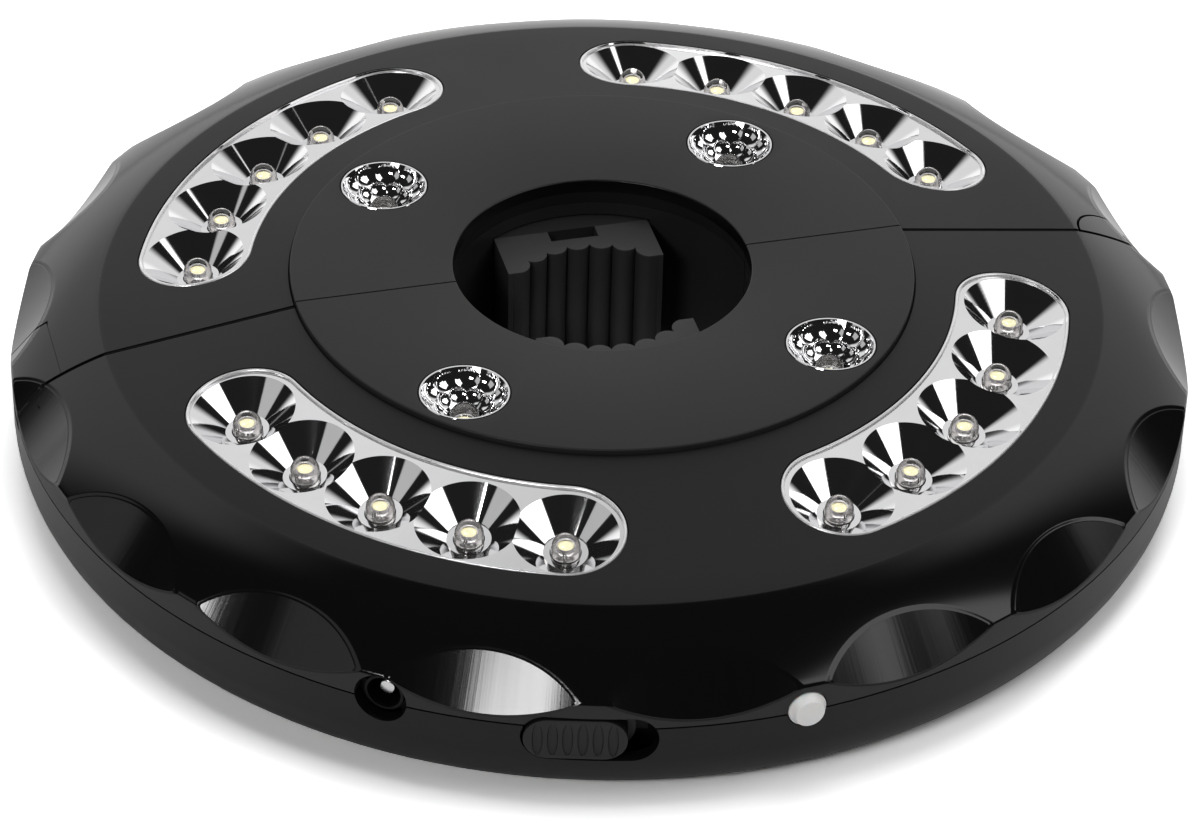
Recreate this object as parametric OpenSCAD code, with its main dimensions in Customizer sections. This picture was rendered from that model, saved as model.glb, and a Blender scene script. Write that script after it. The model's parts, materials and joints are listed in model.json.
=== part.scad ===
// Clip-on light for the pole of a garden umbrella.
// Two half-round housings swing apart on a pin and close round the pole, where two
// sprung, ribbed jaws grip it. Each half carries two curved reflector trays of five
// lamps and two small spot lamps. The origin is the centre of the flat bottom, +Z is
// up, the split between the halves runs along X, and the hinge is on the +X side.

/* [Body] */
// Radius of the round body; the plan of the whole light grows with it
body_r = 100; // [95:1:110]
// Height of the body, from the flat bottom to the top of the centre plates
body_h = 34; // [31:0.5:37]
// Wall thickness of the bases and covers
wall = 2.4; // [2.2:0.1:2.6]
// Gap between the two halves along the split
split_gap = 0.3; // [0.2:0.05:0.5]
// Gap between a cover and its base at the parting line
seam_gap = 0.2; // [0.1:0.05:0.3]
// Rounding of the bottom edge
edge_r = 10; // [9:0.5:11]

/* [Face and shoulder] */
// Fall of the lamp face, in degrees
face_slope = 8.4; // [8:0.2:9]
// Slope at which the shoulder leaves the face, in degrees
shoulder_tilt = 18; // [16:1:19]
// Rounding where the shoulder meets the upright rim
corner_r = 1.2; // [1:0.1:1.4]
// Number of lens-shaped scallops round the rim
scallop_count = 18; // [14:2:20]
// Radius of the hollow of one scallop
scallop_r = 81; // [72:1:90]
// Depth of a scallop below the sharp corner of the rim
scallop_depth = 2.2; // [1.9:0.1:2.4]
// Turn of the first scallop from the hinge side, in degrees
scallop_turn = 5; // [0:1:9]

/* [Centre] */
// Thickness of a centre plate
plate_t = 2.4; // [2.2:0.1:2.6]
// Height of the centre plates above the lamp face
plate_step = 0.95; // [0.8:0.05:1.1]

/* [Lamps] */
// Lamps in one tray
lamp_count = 5; // [4:1:5]
// Angle from one lamp to the next, in degrees
lamp_pitch = 13; // [12.6:0.2:13.4]
// Width of the bright lip round a tray
tray_lip = 0.8; // [0.7:0.1:0.9]
// Depth of a tray's face below its lip
tray_sink = 0.5; // [0.4:0.1:0.6]
// Skin of the trays and cups
skin = 1.2; // [1.1:0.1:1.3]
// Depth of a reflector cup
cup_depth = 4.3; // [3.9:0.1:4.7]
// Radius of a lamp's clear dome
lamp_r = 2.4; // [2.2:0.1:2.6]
// Facets round a spot reflector
spot_facets = 14; // [13:1:16]

/* [Pole jaws] */
// Travel of a jaw away from the pole's axis
jaw_travel = 9; // [8:0.5:9.5]
// Ribs on each jaw
rib_count = 7; // [5:2:7]
// Angle from one rib to the next, in degrees
rib_pitch = 17; // [16:0.5:17]
// Wire of a jaw spring
spring_wire = 0.9; // [0.8:0.1:1]
// Outer radius of a jaw spring
spring_r = 3.6; // [3.2:0.1:4]

/* [Hinge and latch] */
// Distance of the hinge pin in from the rim, and radius of the knuckles round it
knuckle_r = 7; // [6.4:0.1:7.6]
// Radius of the hinge pin
pin_r = 2; // [1.8:0.1:2.2]
// Angle to which the rear half opens, in degrees
open_angle = 75; // [60:1:76]
// Width of the latch tongue along the split
tongue_w = 16; // [14.5:0.5:17.5]
// Distance of the latch tongue's root in from the rim
tongue_in = 7.6; // [7:0.1:8.2]

/* [Controls] */
// Direction of the slide switch, in degrees from the hinge side
switch_turn = -105.2; // [-107:0.2:-104]
// Length of the slide switch's slot
slot_l = 21.5; // [19.5:0.5:23.5]
// Height of the slide switch's slot
slot_h = 8.4; // [7.6:0.1:8.8]
// Travel of the slide switch
switch_travel = 4.4; // [4:0.1:4.8]
// Direction of the charging socket, in degrees from the hinge side
jack_turn = -124.2; // [-126:0.2:-123.5]
// Radius of the charging socket's hole in the rim
jack_r = 3.4; // [3.1:0.1:3.7]
// Direction of the push button, in degrees from the hinge side
button_turn = -85.6; // [-87:0.2:-84]
// Radius of the push button
button_r = 3; // [2.7:0.1:3.3]
// Travel of the push button
button_travel = 1.2; // [1:0.1:1.3]

/* [Fasteners] */
// Radius of the housing screws
screw_r = 1.5; // [1.4:0.1:1.6]

/* [Hidden] */

eps = 0.01;                  // overlap that keeps two solids of one piece joined
fit = 0.05;                  // running clearance of a pin in its bore
gap = 0.3;                   // clearance between pieces that move past each other
slip = 0.15;                 // clearance of a piece that drops into its opening
big = 3 * body_r;            // longer than anything in the model
black = [0.07, 0.07, 0.075];
dark = [0.16, 0.16, 0.165];
chrome = [0.82, 0.83, 0.85];
board_green = [0.12, 0.36, 0.2];
steel = [0.7, 0.7, 0.72];

// The plan, as shares of the body's radius
face_r = 0.85 * body_r;                      // where the lamp face ends and the shoulder begins
plate_r = 0.527 * body_r;                    // centre plates
hole_r = 0.252 * body_r;                     // pole opening
lamp_ring = 0.694 * body_r;                  // circle that the trays are bent along
tray_half = 0.097 * body_r;                  // half width of a tray and radius of its ends
cup_r = 0.886 * tray_half;                   // reflector cup at its mouth
cup_floor_r = 0.371 * tray_half;             // and at its floor
spot_at = 0.31 * body_r;                     // spot lamps, from both centre lines
spot_r = 0.075 * body_r;                     // spot reflectors
grip_r = 0.15 * body_r;                      // circle that the ribs touch with the jaws at rest
jaw_w = 0.274 * body_r;                      // width of a jaw
rib_r = 0.023 * body_r;                      // one rib
cell_l = 0.505 * body_r;                     // length of one cell

// The heights, as shares of the body's height
seam_h = 0.462 * body_h;                     // parting line between the bases and the covers
corner_h = 0.606 * body_h;                   // corner between the shoulder and the upright rim
jaw_top = 0.785 * body_h;
jaw_foot = wall + 0.8;
port_z = seam_h + 0.5;                       // charging socket and push button
switch_z = seam_h - 2.1;                     // slide switch
boss_z = seam_h / 2;                         // where the cover's bosses stand on the base's
cell_r = min(0.209 * body_h, 0.0711 * body_r);

hinge_x = body_r - knuckle_r;                // hinge pin
tongue_x = body_r - tongue_in;               // root of the latch tongue
screw_ring = body_r - 13;                    // circle of the housing screws
slider_l = slot_l - switch_travel - 0.9;     // length of the switch slider
rim_in = body_r - wall;

// The lamp face falls outwards from the centre plate, then an arc carries it over the
// shoulder to the upright rim.
function face_z(r) = body_h - plate_step - (r - plate_r) * tan(face_slope);
shoulder_run = [body_r - face_r, corner_h - face_z(face_r)];
shoulder_arc = norm(shoulder_run) / (2 * sin(atan2(-shoulder_run.y, shoulder_run.x) - shoulder_tilt));
shoulder_c = [
  face_r - shoulder_arc * sin(shoulder_tilt),
  face_z(face_r) - shoulder_arc * cos(shoulder_tilt)
];
function arc_z(r, arc) = shoulder_c.y + sqrt(arc * arc - (r - shoulder_c.x) * (r - shoulder_c.x));
function shoulder_z(r) = arc_z(r, shoulder_arc);
corner = [body_r, shoulder_z(body_r)];
corner_c = [body_r - corner_r, arc_z(body_r - corner_r, shoulder_arc - corner_r)];
corner_t = shoulder_c + (corner_c - shoulder_c) * shoulder_arc / (shoulder_arc - corner_r);
scallop_tilt = 40.5;         // slope of a scallop's axis from the vertical
scallop_n = [cos(scallop_tilt), sin(scallop_tilt)];
ledge_top = body_h - plate_t;                // where a centre plate lies on its cover
ledge_low = ledge_top - wall + 0.3;          // underside of the cover below it

// Lamp board, lamps and trays
board_t = 1.6;
cup_lean = cup_depth * sin(face_slope) / 2;  // how far a cup's mouth lies outside the lamp ring
cup_floor_z = face_z(lamp_ring + cup_lean) - tray_sink - cup_depth * cos(face_slope);
board_z = cup_floor_z - skin - (cup_floor_r + 0.8) * sin(face_slope) - 0.3;
lamp_top = cup_floor_z + 3.4;                // top of a lamp's dome
lamp_at = lamp_ring - cup_lean;              // a lamp stands in the middle of its cup's floor
lamp_span = (lamp_count - 1) * lamp_pitch / 2;
board_in = spot_at * sqrt(2) - 10;           // inner radius of a lamp board
board_out = lamp_ring + tray_half + 2.6;

// Jaws
jaw_back = hole_r + 10.6;                    // rear face of a jaw from the split
jaw_flange = jaw_w / 2 + 2.5;                // half width of the jaw behind the wall
flange_y = sqrt(pow(hole_r + wall, 2) - pow(jaw_w / 2 + gap, 2)) + gap;
channel_in = jaw_flange + gap;               // half width of the jaw's channel
channel_t = 2;
spring_end = jaw_back + 2 * jaw_travel;      // face that the springs push against
spring_x = 0.292 * jaw_w;
spring_z = 0.353 * body_h;
spring_turns = 6;
pad_back = hole_r - 3.8;                     // rear face of the rubber pad

// Battery bay, in the front half; the rear half's is turned half way round
bay_x0 = channel_in + channel_t + 0.6;
bay_wall = 1.4;
contact_t = 0.6;
bay_l = cell_l + 2 * contact_t + 1.2;        // inside length
bay_x1 = bay_x0 + bay_l + 2 * bay_wall;
cell_gap = 0.5;
bay_w = 4 * cell_r + 3 * cell_gap;           // inside width
bay_y0 = bay_w + 2 * bay_wall - sqrt(pow(body_r - 8.5, 2) - pow(bay_x1, 2));
bay_top = wall + 2 * cell_r + 1.2;           // inside top
lid_t = 1.8;

// Hinge: the knuckles' heights
knuckle_1 = 0.162 * body_h;
knuckle_2 = seam_h - seam_gap;
relief_r = knuckle_r + 2;
hinge_top = shoulder_z(hinge_x + pin_r) - 1.35;    // top of the hinge pin

// Controls
board2_z = port_z - 6.2;                     // underside of the control board
part_z = board2_z + board_t;                 // top of the control board

module half(rear) {
  // Keeps the side of the split that this half lies on.
  intersection() {
    children();
    translate([-big / 2, rear ? split_gap / 2 : -big - split_gap / 2, -1]) cube([big, big, big]);
  }
}

// ---- Profiles, drawn in the plane of radius and height ----
module cover_outline() {
  difference() {
    intersection() {
      polygon([
        [0, seam_h + seam_gap / 2], [body_r, seam_h + seam_gap / 2],
        [body_r, face_z(body_r)], [plate_r + 0.1, face_z(plate_r)],
        [plate_r + 0.1, ledge_top], [0, ledge_top]
      ]);
      union() {
        square([face_r, body_h]);
        translate(shoulder_c) circle(r = shoulder_arc, $fn = 360);
      }
    }
    difference() {
      polygon([corner_c, [body_r, corner_c.y], corner + [0.3, 0.3], corner_t]);
      translate(corner_c) circle(r = corner_r, $fn = 48);
    }
  }
}

module cover_hollow() {
  in_r = body_r - 5.8;
  polygon([
    [hole_r - 2, seam_h - 1], [rim_in, seam_h - 1],
    [rim_in, corner.y - 2.6],
    [in_r, shoulder_z(in_r) - 2.4],
    [face_r, face_z(face_r) - wall - 0.3],
    [plate_r + 6, face_z(plate_r + 6) - wall],
    [plate_r, ledge_low], [hole_r - 2, ledge_low]
  ]);
}

module base_outline() {
  intersection() {
    union() {
      square([body_r - edge_r, body_h]);
      translate([0, edge_r]) square([body_r, body_h]);
      translate([body_r - edge_r, edge_r]) circle(r = edge_r, $fn = 96);
    }
    square([body_r, seam_h - seam_gap / 2]);
  }
}

module base_hollow() {
  translate([0, wall]) square([body_r - edge_r, seam_h]);
  translate([0, edge_r]) square([rim_in, seam_h]);
  translate([body_r - edge_r, edge_r]) circle(r = edge_r - wall, $fn = 96);
}

module turned() { rotate_extrude($fn = 360) children(); }

// ---- Cutters shared by the housings ----
module scallops() {
  // A cylinder leant outwards hollows a lens from the corner of the rim.
  for (i = [0 : scallop_count - 1])
    rotate([0, 0, scallop_turn + i * 360 / scallop_count])
      translate([corner[0] - scallop_depth * scallop_n[0], 0, corner[1] - scallop_depth * scallop_n[1]])
        rotate([0, -scallop_tilt, 0])
          translate([scallop_r, 0, 0])
            cylinder(r = scallop_r, h = 60, center = true, $fn = 360);
}

module pole_hole() { translate([0, 0, -1]) cylinder(r = hole_r, h = body_h + 2, $fn = 180); }

module tray_outline(grow) {
  far = body_r / cos(lamp_span);
  intersection() {
    difference() {
      circle(r = lamp_ring + tray_half + grow, $fn = 360);
      circle(r = lamp_ring - tray_half - grow, $fn = 360);
    }
    polygon([[0, 0], far * [cos(lamp_span), -sin(lamp_span)], far * [cos(lamp_span), sin(lamp_span)]]);
  }
  // The round ends stay a hair inside the sides, so that no arc only touches another.
  for (side = [-1, 1])
    rotate(side * lamp_span) translate([lamp_ring, 0]) circle(r = tray_half + grow - 0.04, $fn = 96);
}

module tray_openings(rear) {
  for (turn = rear ? [45, 135] : [-45, -135])
    rotate([0, 0, turn]) translate([0, 0, seam_h]) linear_extrude(body_h) tray_outline(slip);
}

module spots(rear) {
  y = rear ? spot_at : -spot_at;
  for (x = [-spot_at, spot_at]) translate([x, y, 0]) children();
}

module hinge_at() { translate([hinge_x, 0, 0]) children(); }

module knuckle(z0, z1) {
  hinge_at() translate([0, 0, z0]) cylinder(r = knuckle_r, h = z1 - z0, $fn = 96);
}

module knuckle_room(z0, z1) {
  hinge_at() translate([0, 0, z0]) cylinder(r = knuckle_r + gap, h = z1 - z0, $fn = 96);
}

module swing_relief() {
  // Room beside the knuckles for the front rim when the rear half stands open.
  hinge_at() translate([0, 0, -1]) linear_extrude(body_h + 2) difference() {
    intersection() {
      circle(r = relief_r, $fn = 96);
      polygon([[0, 0], [20, 0], [20, 20], 20 * [cos(open_angle - 13), sin(open_angle - 13)]]);
    }
    circle(r = knuckle_r, $fn = 96);
  }
}

module pin_bore(z0, z1) {
  hinge_at() translate([0, 0, z0]) cylinder(r = pin_r + fit, h = z1 - z0, $fn = 64);
}

// Places its children on the rim: +X points out of the rim, +Y along it.
module on_rim(turn, z) { rotate([0, 0, turn]) translate([0, 0, z]) children(); }

module pill(length, height, depth) {
  // A slot shape standing on the rim, pointing outwards along +X.
  for (side = [-1, 1])
    translate([0, side * (length - height) / 2, 0])
      rotate([0, 90, 0]) cylinder(r = height / 2, h = depth, $fn = 64);
  translate([0, -(length - height) / 2, -height / 2]) cube([depth, length - height, height]);
}

module slider_room() {
  // Flat pocket behind the rim in which the slider's flange runs
  on_rim(switch_turn, switch_z) translate([rim_in - 9, -slot_l / 2 - 2.4, -slot_h / 2 - 1.4])
    cube([8, slot_l + 4.8, slot_h + 2.8]);
}

module rim_ports() {
  slider_room();
  on_rim(switch_turn, switch_z) translate([rim_in - 8, 0, 0]) pill(slot_l, slot_h, 20);
  on_rim(jack_turn, port_z) translate([rim_in - 8, 0, 0])
    rotate([0, 90, 0]) cylinder(r = jack_r, h = 20, $fn = 64);
  on_rim(button_turn, port_z) translate([rim_in - 8, 0, 0])
    rotate([0, 90, 0]) cylinder(r = button_r + gap, h = 20, $fn = 64);
}

function screw_turns(rear) = [for (turn = [-24, -58, -150, -168]) turn + (rear ? 180 : 0)];

module at_screws(rear) {
  for (turn = screw_turns(rear)) rotate([0, 0, turn]) translate([screw_ring, 0, 0]) children();
}

// Room for the latch tongue and its swing, and for its hook through the split wall
tongue_axis_z = shoulder_z(tongue_x) - 0.3;
tongue_low = seam_h + 0.6;
module tongue_room() {
  reach = split_gap / 2 + tongue_w;
  translate([-body_r - 2, -eps, tongue_axis_z - 0.5]) cube([body_r + 2 - tongue_x + 0.1, reach + gap, 10]);
  translate([-body_r - 2, -eps, seam_h - 1.2])
    cube([body_r + 2 - tongue_x + 1.4, reach + gap, tongue_axis_z - seam_h + 0.9]);
}

// ---- Housings ----
module cover(rear) {
  side = rear ? 1 : -1;
  color(black) difference() {
    union() {
      half(rear) {
        difference() {
          turned() cover_outline();
          turned() cover_hollow();
        }
      }
      // wall along the split, inside the shell
      half(rear) intersection() {
        turned() cover_outline();
        difference() {
          translate([-big / 2, rear ? 0 : -wall - split_gap / 2, seam_h])
            cube([big, wall + split_gap / 2, body_h]);
          translate([0, 0, -1]) cylinder(r = hole_r + wall + gap, h = ledge_low + 1, $fn = 180);
        }
      }
      // bosses for the housing screws
      at_screws(rear) translate([0, 0, boss_z])
        cylinder(r = 3.4, h = shoulder_z(screw_ring + 3.4) - 0.3 - boss_z, $fn = 48);
      if (!rear) intersection() {
        knuckle(seam_h + seam_gap / 2, body_h);
        turned() cover_outline();
      }
      if (!rear) catch_rib();
    }
    pole_hole();
    tray_openings(rear);
    spots(rear) {
      translate([0, 0, seam_h]) cylinder(r = spot_r + slip, h = body_h, $fn = 64);
      translate([0, 0, ledge_top - 1]) cylinder(r = spot_r + 1.6, h = 5, $fn = 64);
    }
    scallops();
    at_screws(rear) translate([0, 0, boss_z - 1]) cylinder(r = screw_r + fit, h = 13, $fn = 32);
    if (rear) {
      knuckle_room(seam_h - 1, body_h);
      swing_relief();
      tongue_room();
    } else {
      rim_ports();
      pin_bore(seam_h - 1, hinge_top + 0.5);
      hook_window();
    }
  }
}

module jaw_channel() {
  // Two guide walls with a cross wall behind the springs, on the base's floor.
  top = ledge_low - 8;
  for (side = [-1, 1])
    translate([side * (channel_in + channel_t / 2) - channel_t / 2, hole_r + 0.8, 0.5])
      cube([channel_t, spring_end - hole_r, top]);
  translate([-channel_in - channel_t, spring_end + 0.1, 0.5])
    cube([2 * (channel_in + channel_t), channel_t, top]);
  for (x = [-spring_x, spring_x])
    translate([x, spring_end + 0.2, spring_z]) rotate([90, 0, 0])
      cylinder(r = spring_r - spring_wire - 0.3, h = 3, $fn = 32);
}

module bay_block() {
  // Outside of the battery bay
  translate([bay_x0, bay_y0 - bay_w - 2 * bay_wall, 0.5])
    cube([bay_l + 2 * bay_wall, bay_w + 2 * bay_wall, bay_top + bay_wall - 0.5]);
}

module bay_room() {
  translate([bay_x0 + bay_wall, bay_y0 - bay_w - bay_wall, -1])
    cube([bay_l, bay_w, bay_top + 1]);
}

module lid_room(grow) {
  translate([bay_x0 - grow, bay_y0 - bay_w - 2 * bay_wall - 1 - grow, -1])
    cube([bay_l + 2 * bay_wall + 2 * grow, bay_w + 2 * bay_wall + 2 + 2 * grow, lid_t + 1.2]);
}

lid_screw_at = [bay_x0 + bay_l / 2 + bay_wall, bay_y0 - bay_w - 2 * bay_wall - 4.6];
module lid_ear(grow) {
  // Round ear of a battery lid that takes its screw
  translate([lid_screw_at.x, lid_screw_at.y, -1]) cylinder(r = 4.5 + grow, h = lid_t + 1.2, $fn = 48);
  translate([lid_screw_at.x - 4.5 - grow, lid_screw_at.y, -1])
    cube([9 + 2 * grow, 5, lid_t + 1.2]);
}

lip_in = rim_in - gap - 1.6;
module lip() {
  // Lip that stands behind the cover's skirt, kept clear of the split wall and the hinge
  difference() {
    union() {
      translate([0, 0, seam_h - 3]) cylinder(r = rim_in + eps, h = 2.7, $fn = 360);
      translate([0, 0, seam_h - 0.5]) cylinder(r = rim_in - gap, h = 1.9, $fn = 360);
    }
    translate([0, 0, seam_h - 4]) cylinder(r = lip_in, h = 8, $fn = 360);
    clear = wall + split_gap / 2 + gap;
    translate([0, -clear, seam_h - 0.6]) cube([big, 2 * clear, 5]);
    // room for the latch's catch
    catch_end = catch_y + catch_t + 3;
    translate([-big, -catch_end, seam_h - 0.6]) cube([big, 2 * catch_end, 5]);
    knuckle_room(seam_h - 0.6, body_h);
  }
}

function board_posts(rear) = rear
  ? body_r * [[0.4, 0.36], [0, 0.7], [-0.74, 0.13]]
  : body_r * [[-0.4, -0.36], [0, -0.7], [0.74, -0.13]];

module base(rear) {
  turn = rear ? 180 : 0;
  color(black) difference() {
    union() {
      half(rear) difference() {
        union() {
          difference() {
            turned() base_outline();
            turned() base_hollow();
          }
          // wall of the pole opening, up to the cover's ledge
          translate([0, 0, 0.5]) cylinder(r = hole_r + wall, h = ledge_low - 0.6, $fn = 180);
          lip();
        }
      }
      // wall along the split
      half(rear) intersection() {
        turned() base_outline();
        translate([-big / 2, rear ? 0 : -wall - split_gap / 2, 0])
          cube([big, wall + split_gap / 2, seam_h]);
      }
      rotate([0, 0, turn + 180]) jaw_channel();
      rotate([0, 0, turn]) bay_block();
      at_screws(rear) translate([0, 0, 0.5]) cylinder(r = 3.8, h = boss_z - 0.5, $fn = 48);
      rotate([0, 0, turn]) translate([lid_screw_at.x, lid_screw_at.y, 0.5])
        cylinder(r = 4, h = 9, $fn = 48);
      for (p = board_posts(rear)) translate([p.x, p.y, 0.5])
        cylinder(r = 2.5, h = board_z - board_t - 0.5, $fn = 32);
      // post on the roof of the battery bay
      rotate([0, 0, turn]) translate([0.4 * body_r, -0.36 * body_r, bay_top])
        cylinder(r = 2.5, h = board_z - board_t - bay_top, $fn = 32);
      if (rear) intersection() {
        knuckle(knuckle_1 + gap, knuckle_2);
        turned() base_outline();
      } else {
        intersection() {
          knuckle(0, knuckle_1);
          turned() base_outline();
        }
        for (a = [-118, -98]) rotate([0, 0, a]) translate([rim_in - 17.6, 0, 0.5])
          cylinder(r = 2.5, h = board2_z - 0.5, $fn = 32);
      }
    }
    pole_hole();
    // window that the jaw passes through
    rotate([0, 0, turn]) translate([-jaw_w / 2 - gap, -hole_r - 8, jaw_foot - gap])
      cube([jaw_w + 2 * gap, hole_r + 8, jaw_top - jaw_foot + 2 * gap]);
    rotate([0, 0, turn]) {
      bay_room();
      lid_room(slip);
      lid_ear(slip);
      translate([lid_screw_at.x, lid_screw_at.y, 0]) cylinder(r = screw_r + fit, h = 8.5, $fn = 32);
    }
    at_screws(rear) {
      translate([0, 0, -1]) cylinder(r = screw_r + fit, h = boss_z + 2, $fn = 32);
      translate([0, 0, -1]) cylinder(r = 3.1, h = 3.4, $fn = 48);
    }
    if (rear) {
      knuckle_room(-1, knuckle_1 + gap);
      swing_relief();
      pin_bore(-1, seam_h);
      tongue_room();
    } else {
      knuckle_room(knuckle_1, seam_h + 1);
      pin_bore(-1, seam_h);
      rim_ports();
    }
  }
}

module centre_plate(rear) {
  color(dark) half(rear) difference() {
    translate([0, 0, ledge_top]) cylinder(r = plate_r, h = plate_t, $fn = 360);
    pole_hole();
    spots(rear) translate([0, 0, ledge_top - 1]) cylinder(r = spot_r + slip, h = plate_t + 2, $fn = 64);
  }
}

module battery_lid() {
  color(black) difference() {
    union() {
      intersection() {
        lid_room(-slip);
        translate([-big / 2, -big, 0.2]) cube([big, big, lid_t - 0.2]);
      }
      intersection() {
        lid_ear(-slip);
        translate([-big / 2, -big, 0.2]) cube([big, big, lid_t - 0.2]);
      }
    }
    translate([lid_screw_at.x, lid_screw_at.y, -1]) cylinder(r = screw_r + fit, h = 5, $fn = 32);
    translate([lid_screw_at.x, lid_screw_at.y, -1]) cylinder(r = 3, h = 2.1, $fn = 48);
    // finger ribs
    for (i = [0 : 4]) translate([lid_screw_at.x - 8, bay_y0 - 4 - 1.6 * i, -1]) cube([16, 0.8, 1.6]);
  }
}

module lid_screw() {
  color(steel) translate([lid_screw_at.x, lid_screw_at.y, 0]) difference() {
    union() {
      translate([0, 0, 0.3]) cylinder(r = 2.7, h = 0.8 - fit, $fn = 48);
      translate([0, 0, 0.5]) cylinder(r = screw_r, h = 7.5, $fn = 32);
    }
    for (a = [0, 90]) rotate([0, 0, a]) translate([-1.7, -0.3, 0]) cube([3.4, 0.6, 0.7]);
  }
}

module lamp_board(rear) {
  color(board_green) half(rear) difference() {
    translate([0, 0, board_z - board_t]) cylinder(r = board_out, h = board_t, $fn = 180);
    translate([0, 0, board_z - 5]) cylinder(r = board_in, h = 10, $fn = 180);
    translate([-channel_in - 0.4, -spring_end - 0.2, board_z - 5])
      cube([2 * channel_in + 0.8, 2 * spring_end + 0.4, 10]);
    translate([-big / 2, -wall - 1, board_z - 5]) cube([big, 2 * wall + 2, 10]);
  }
}

module at_cups() {
  // Places its children at each cup's mouth, with +Z square to the lamp face.
  for (i = [0 : lamp_count - 1]) rotate([0, 0, -lamp_span + i * lamp_pitch])
    translate([lamp_ring + cup_lean, 0, face_z(lamp_ring + cup_lean) - tray_sink])
      rotate([0, face_slope, 0]) children();
}

module reflector() {
  // One curved tray with a conical cup for each lamp, drawn on the +X side.
  grow = (cup_r - cup_floor_r) / cup_depth;
  color(chrome) difference() {
    union() {
      intersection() {
        translate([0, 0, board_z + 0.1]) linear_extrude(body_h) difference() {
          tray_outline(0);
          tray_outline(-tray_lip);
        }
        turned() polygon([[0, 0], [body_r, 0], [body_r, face_z(body_r)], [0, face_z(0)]]);
      }
      intersection() {
        translate([0, 0, board_z]) linear_extrude(body_h) tray_outline(-tray_lip / 2);
        turned() translate([0, -tray_sink]) polygon([
          [0, face_z(0) - skin], [body_r, face_z(body_r) - skin],
          [body_r, face_z(body_r)], [0, face_z(0)]
        ]);
      }
      at_cups() translate([0, 0, -cup_depth - skin])
        cylinder(r1 = cup_floor_r + 0.8, r2 = cup_r, h = cup_depth + skin / 2, $fn = 64);
    }
    at_cups() translate([0, 0, -cup_depth])
      cylinder(r1 = cup_floor_r, r2 = cup_r + 2 * grow, h = cup_depth + 2, $fn = 64);
    for (i = [0 : lamp_count - 1]) rotate([0, 0, -lamp_span + i * lamp_pitch])
      translate([lamp_at, 0, board_z]) cylinder(r = lamp_r + slip, h = 4, $fn = 48);
  }
}

module lamp() {
  // Clear dome on a short body with a collar at its foot
  translate([0, 0, board_z]) cylinder(r = lamp_r + 0.4, h = 0.3, $fn = 48);
  translate([0, 0, board_z]) cylinder(r = lamp_r, h = lamp_top - board_z - lamp_r, $fn = 48);
  translate([0, 0, lamp_top - lamp_r]) sphere(r = lamp_r, $fn = 48);
}

module tray_lamps(turn) {
  color([0.95, 0.93, 0.8, 0.8])
    for (i = [0 : lamp_count - 1]) rotate([0, 0, turn - lamp_span + i * lamp_pitch])
      translate([lamp_at, 0, 0]) lamp();
}

// A spot reflector's bowl: rings of vertices, each turned half a facet from the last
spot_rings = 4;
spot_floor = 3;
function bowl_r(t) = spot_floor + (spot_r - 0.7 - spot_floor) * pow(t, 0.8);
module spot_bowl(z0, z1) {
  n = spot_facets;
  ring = [for (k = [0 : spot_rings]) for (i = [0 : n - 1])
    let (t = k / spot_rings, a = (i + (k % 2) / 2) * 360 / n)
      [bowl_r(t) * cos(a), bowl_r(t) * sin(a), z0 + (z1 - z0) * t]];
  sides = [for (k = [0 : spot_rings - 1]) for (i = [0 : n - 1])
    let (s = k % 2, a = k * n + i, b = k * n + (i + 1) % n, c = (k + 1) * n + i,
         d = (k + 1) * n + (i + 1) % n)
      each (s == 0 ? [[a, c, b], [b, c, d]] : [[a, d, b], [a, c, d]])];
  floor_face = [[for (i = [0 : n - 1]) i]];
  top_face = [[for (i = [n - 1 : -1 : 0]) spot_rings * n + i]];
  polyhedron(points = ring, faces = concat(sides, floor_face, top_face));
}

module spot_reflector() {
  low = board_z + 0.6;
  color(chrome) difference() {
    union() {
      translate([0, 0, low]) cylinder(r = spot_r, h = body_h - low, $fn = 64);
      translate([0, 0, ledge_top - 1 + fit]) cylinder(r = spot_r + 1.3, h = 1 - 2 * fit, $fn = 64);
    }
    spot_bowl(low + skin, body_h + eps);
    translate([0, 0, low - 1]) cylinder(r = lamp_r + slip, h = 4, $fn = 48);
  }
}

module spot_lamp() { color([0.9, 0.85, 0.8, 0.8]) lamp(); }

module cells() {
  color([0.5, 0.52, 0.55])
    for (k = [0, 1]) translate([
      bay_x0 + bay_wall + contact_t + 0.6,
      bay_y0 - bay_wall - cell_gap - cell_r - k * (2 * cell_r + cell_gap),
      lid_t + 0.3 + cell_r
    ]) rotate([0, 90, 0]) {
      cylinder(r = cell_r, h = cell_l - 1.2, $fn = 64);
      cylinder(r = 2.6, h = cell_l, $fn = 32);
    }
}

module cell_contacts() {
  color(steel)
    for (end = [0, 1])
      translate([
        bay_x0 + bay_wall + (end == 0 ? 0.1 : bay_l - contact_t - 0.1),
        bay_y0 - bay_wall - bay_w + 0.6, wall + 0.6
      ]) cube([contact_t, bay_w - 1.2, 2 * cell_r - 1.6]);
}

module screws(rear) {
  // Pan-head screws, heads up in their counterbores under the base
  color(steel) at_screws(rear) difference() {
    union() {
      translate([0, 0, 0.8]) cylinder(r = 2.8, h = 1.6 - fit, $fn = 48);
      translate([0, 0, 2]) cylinder(r = screw_r, h = boss_z + 8, $fn = 32);
    }
    for (a = [0, 90]) rotate([0, 0, a]) translate([-1.8, -0.35, 0]) cube([3.6, 0.7, 1.4]);
  }
}

module hinge_pin() {
  color(steel) hinge_at() translate([0, 0, 1]) cylinder(r = pin_r, h = hinge_top - 1, $fn = 64);
}

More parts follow.
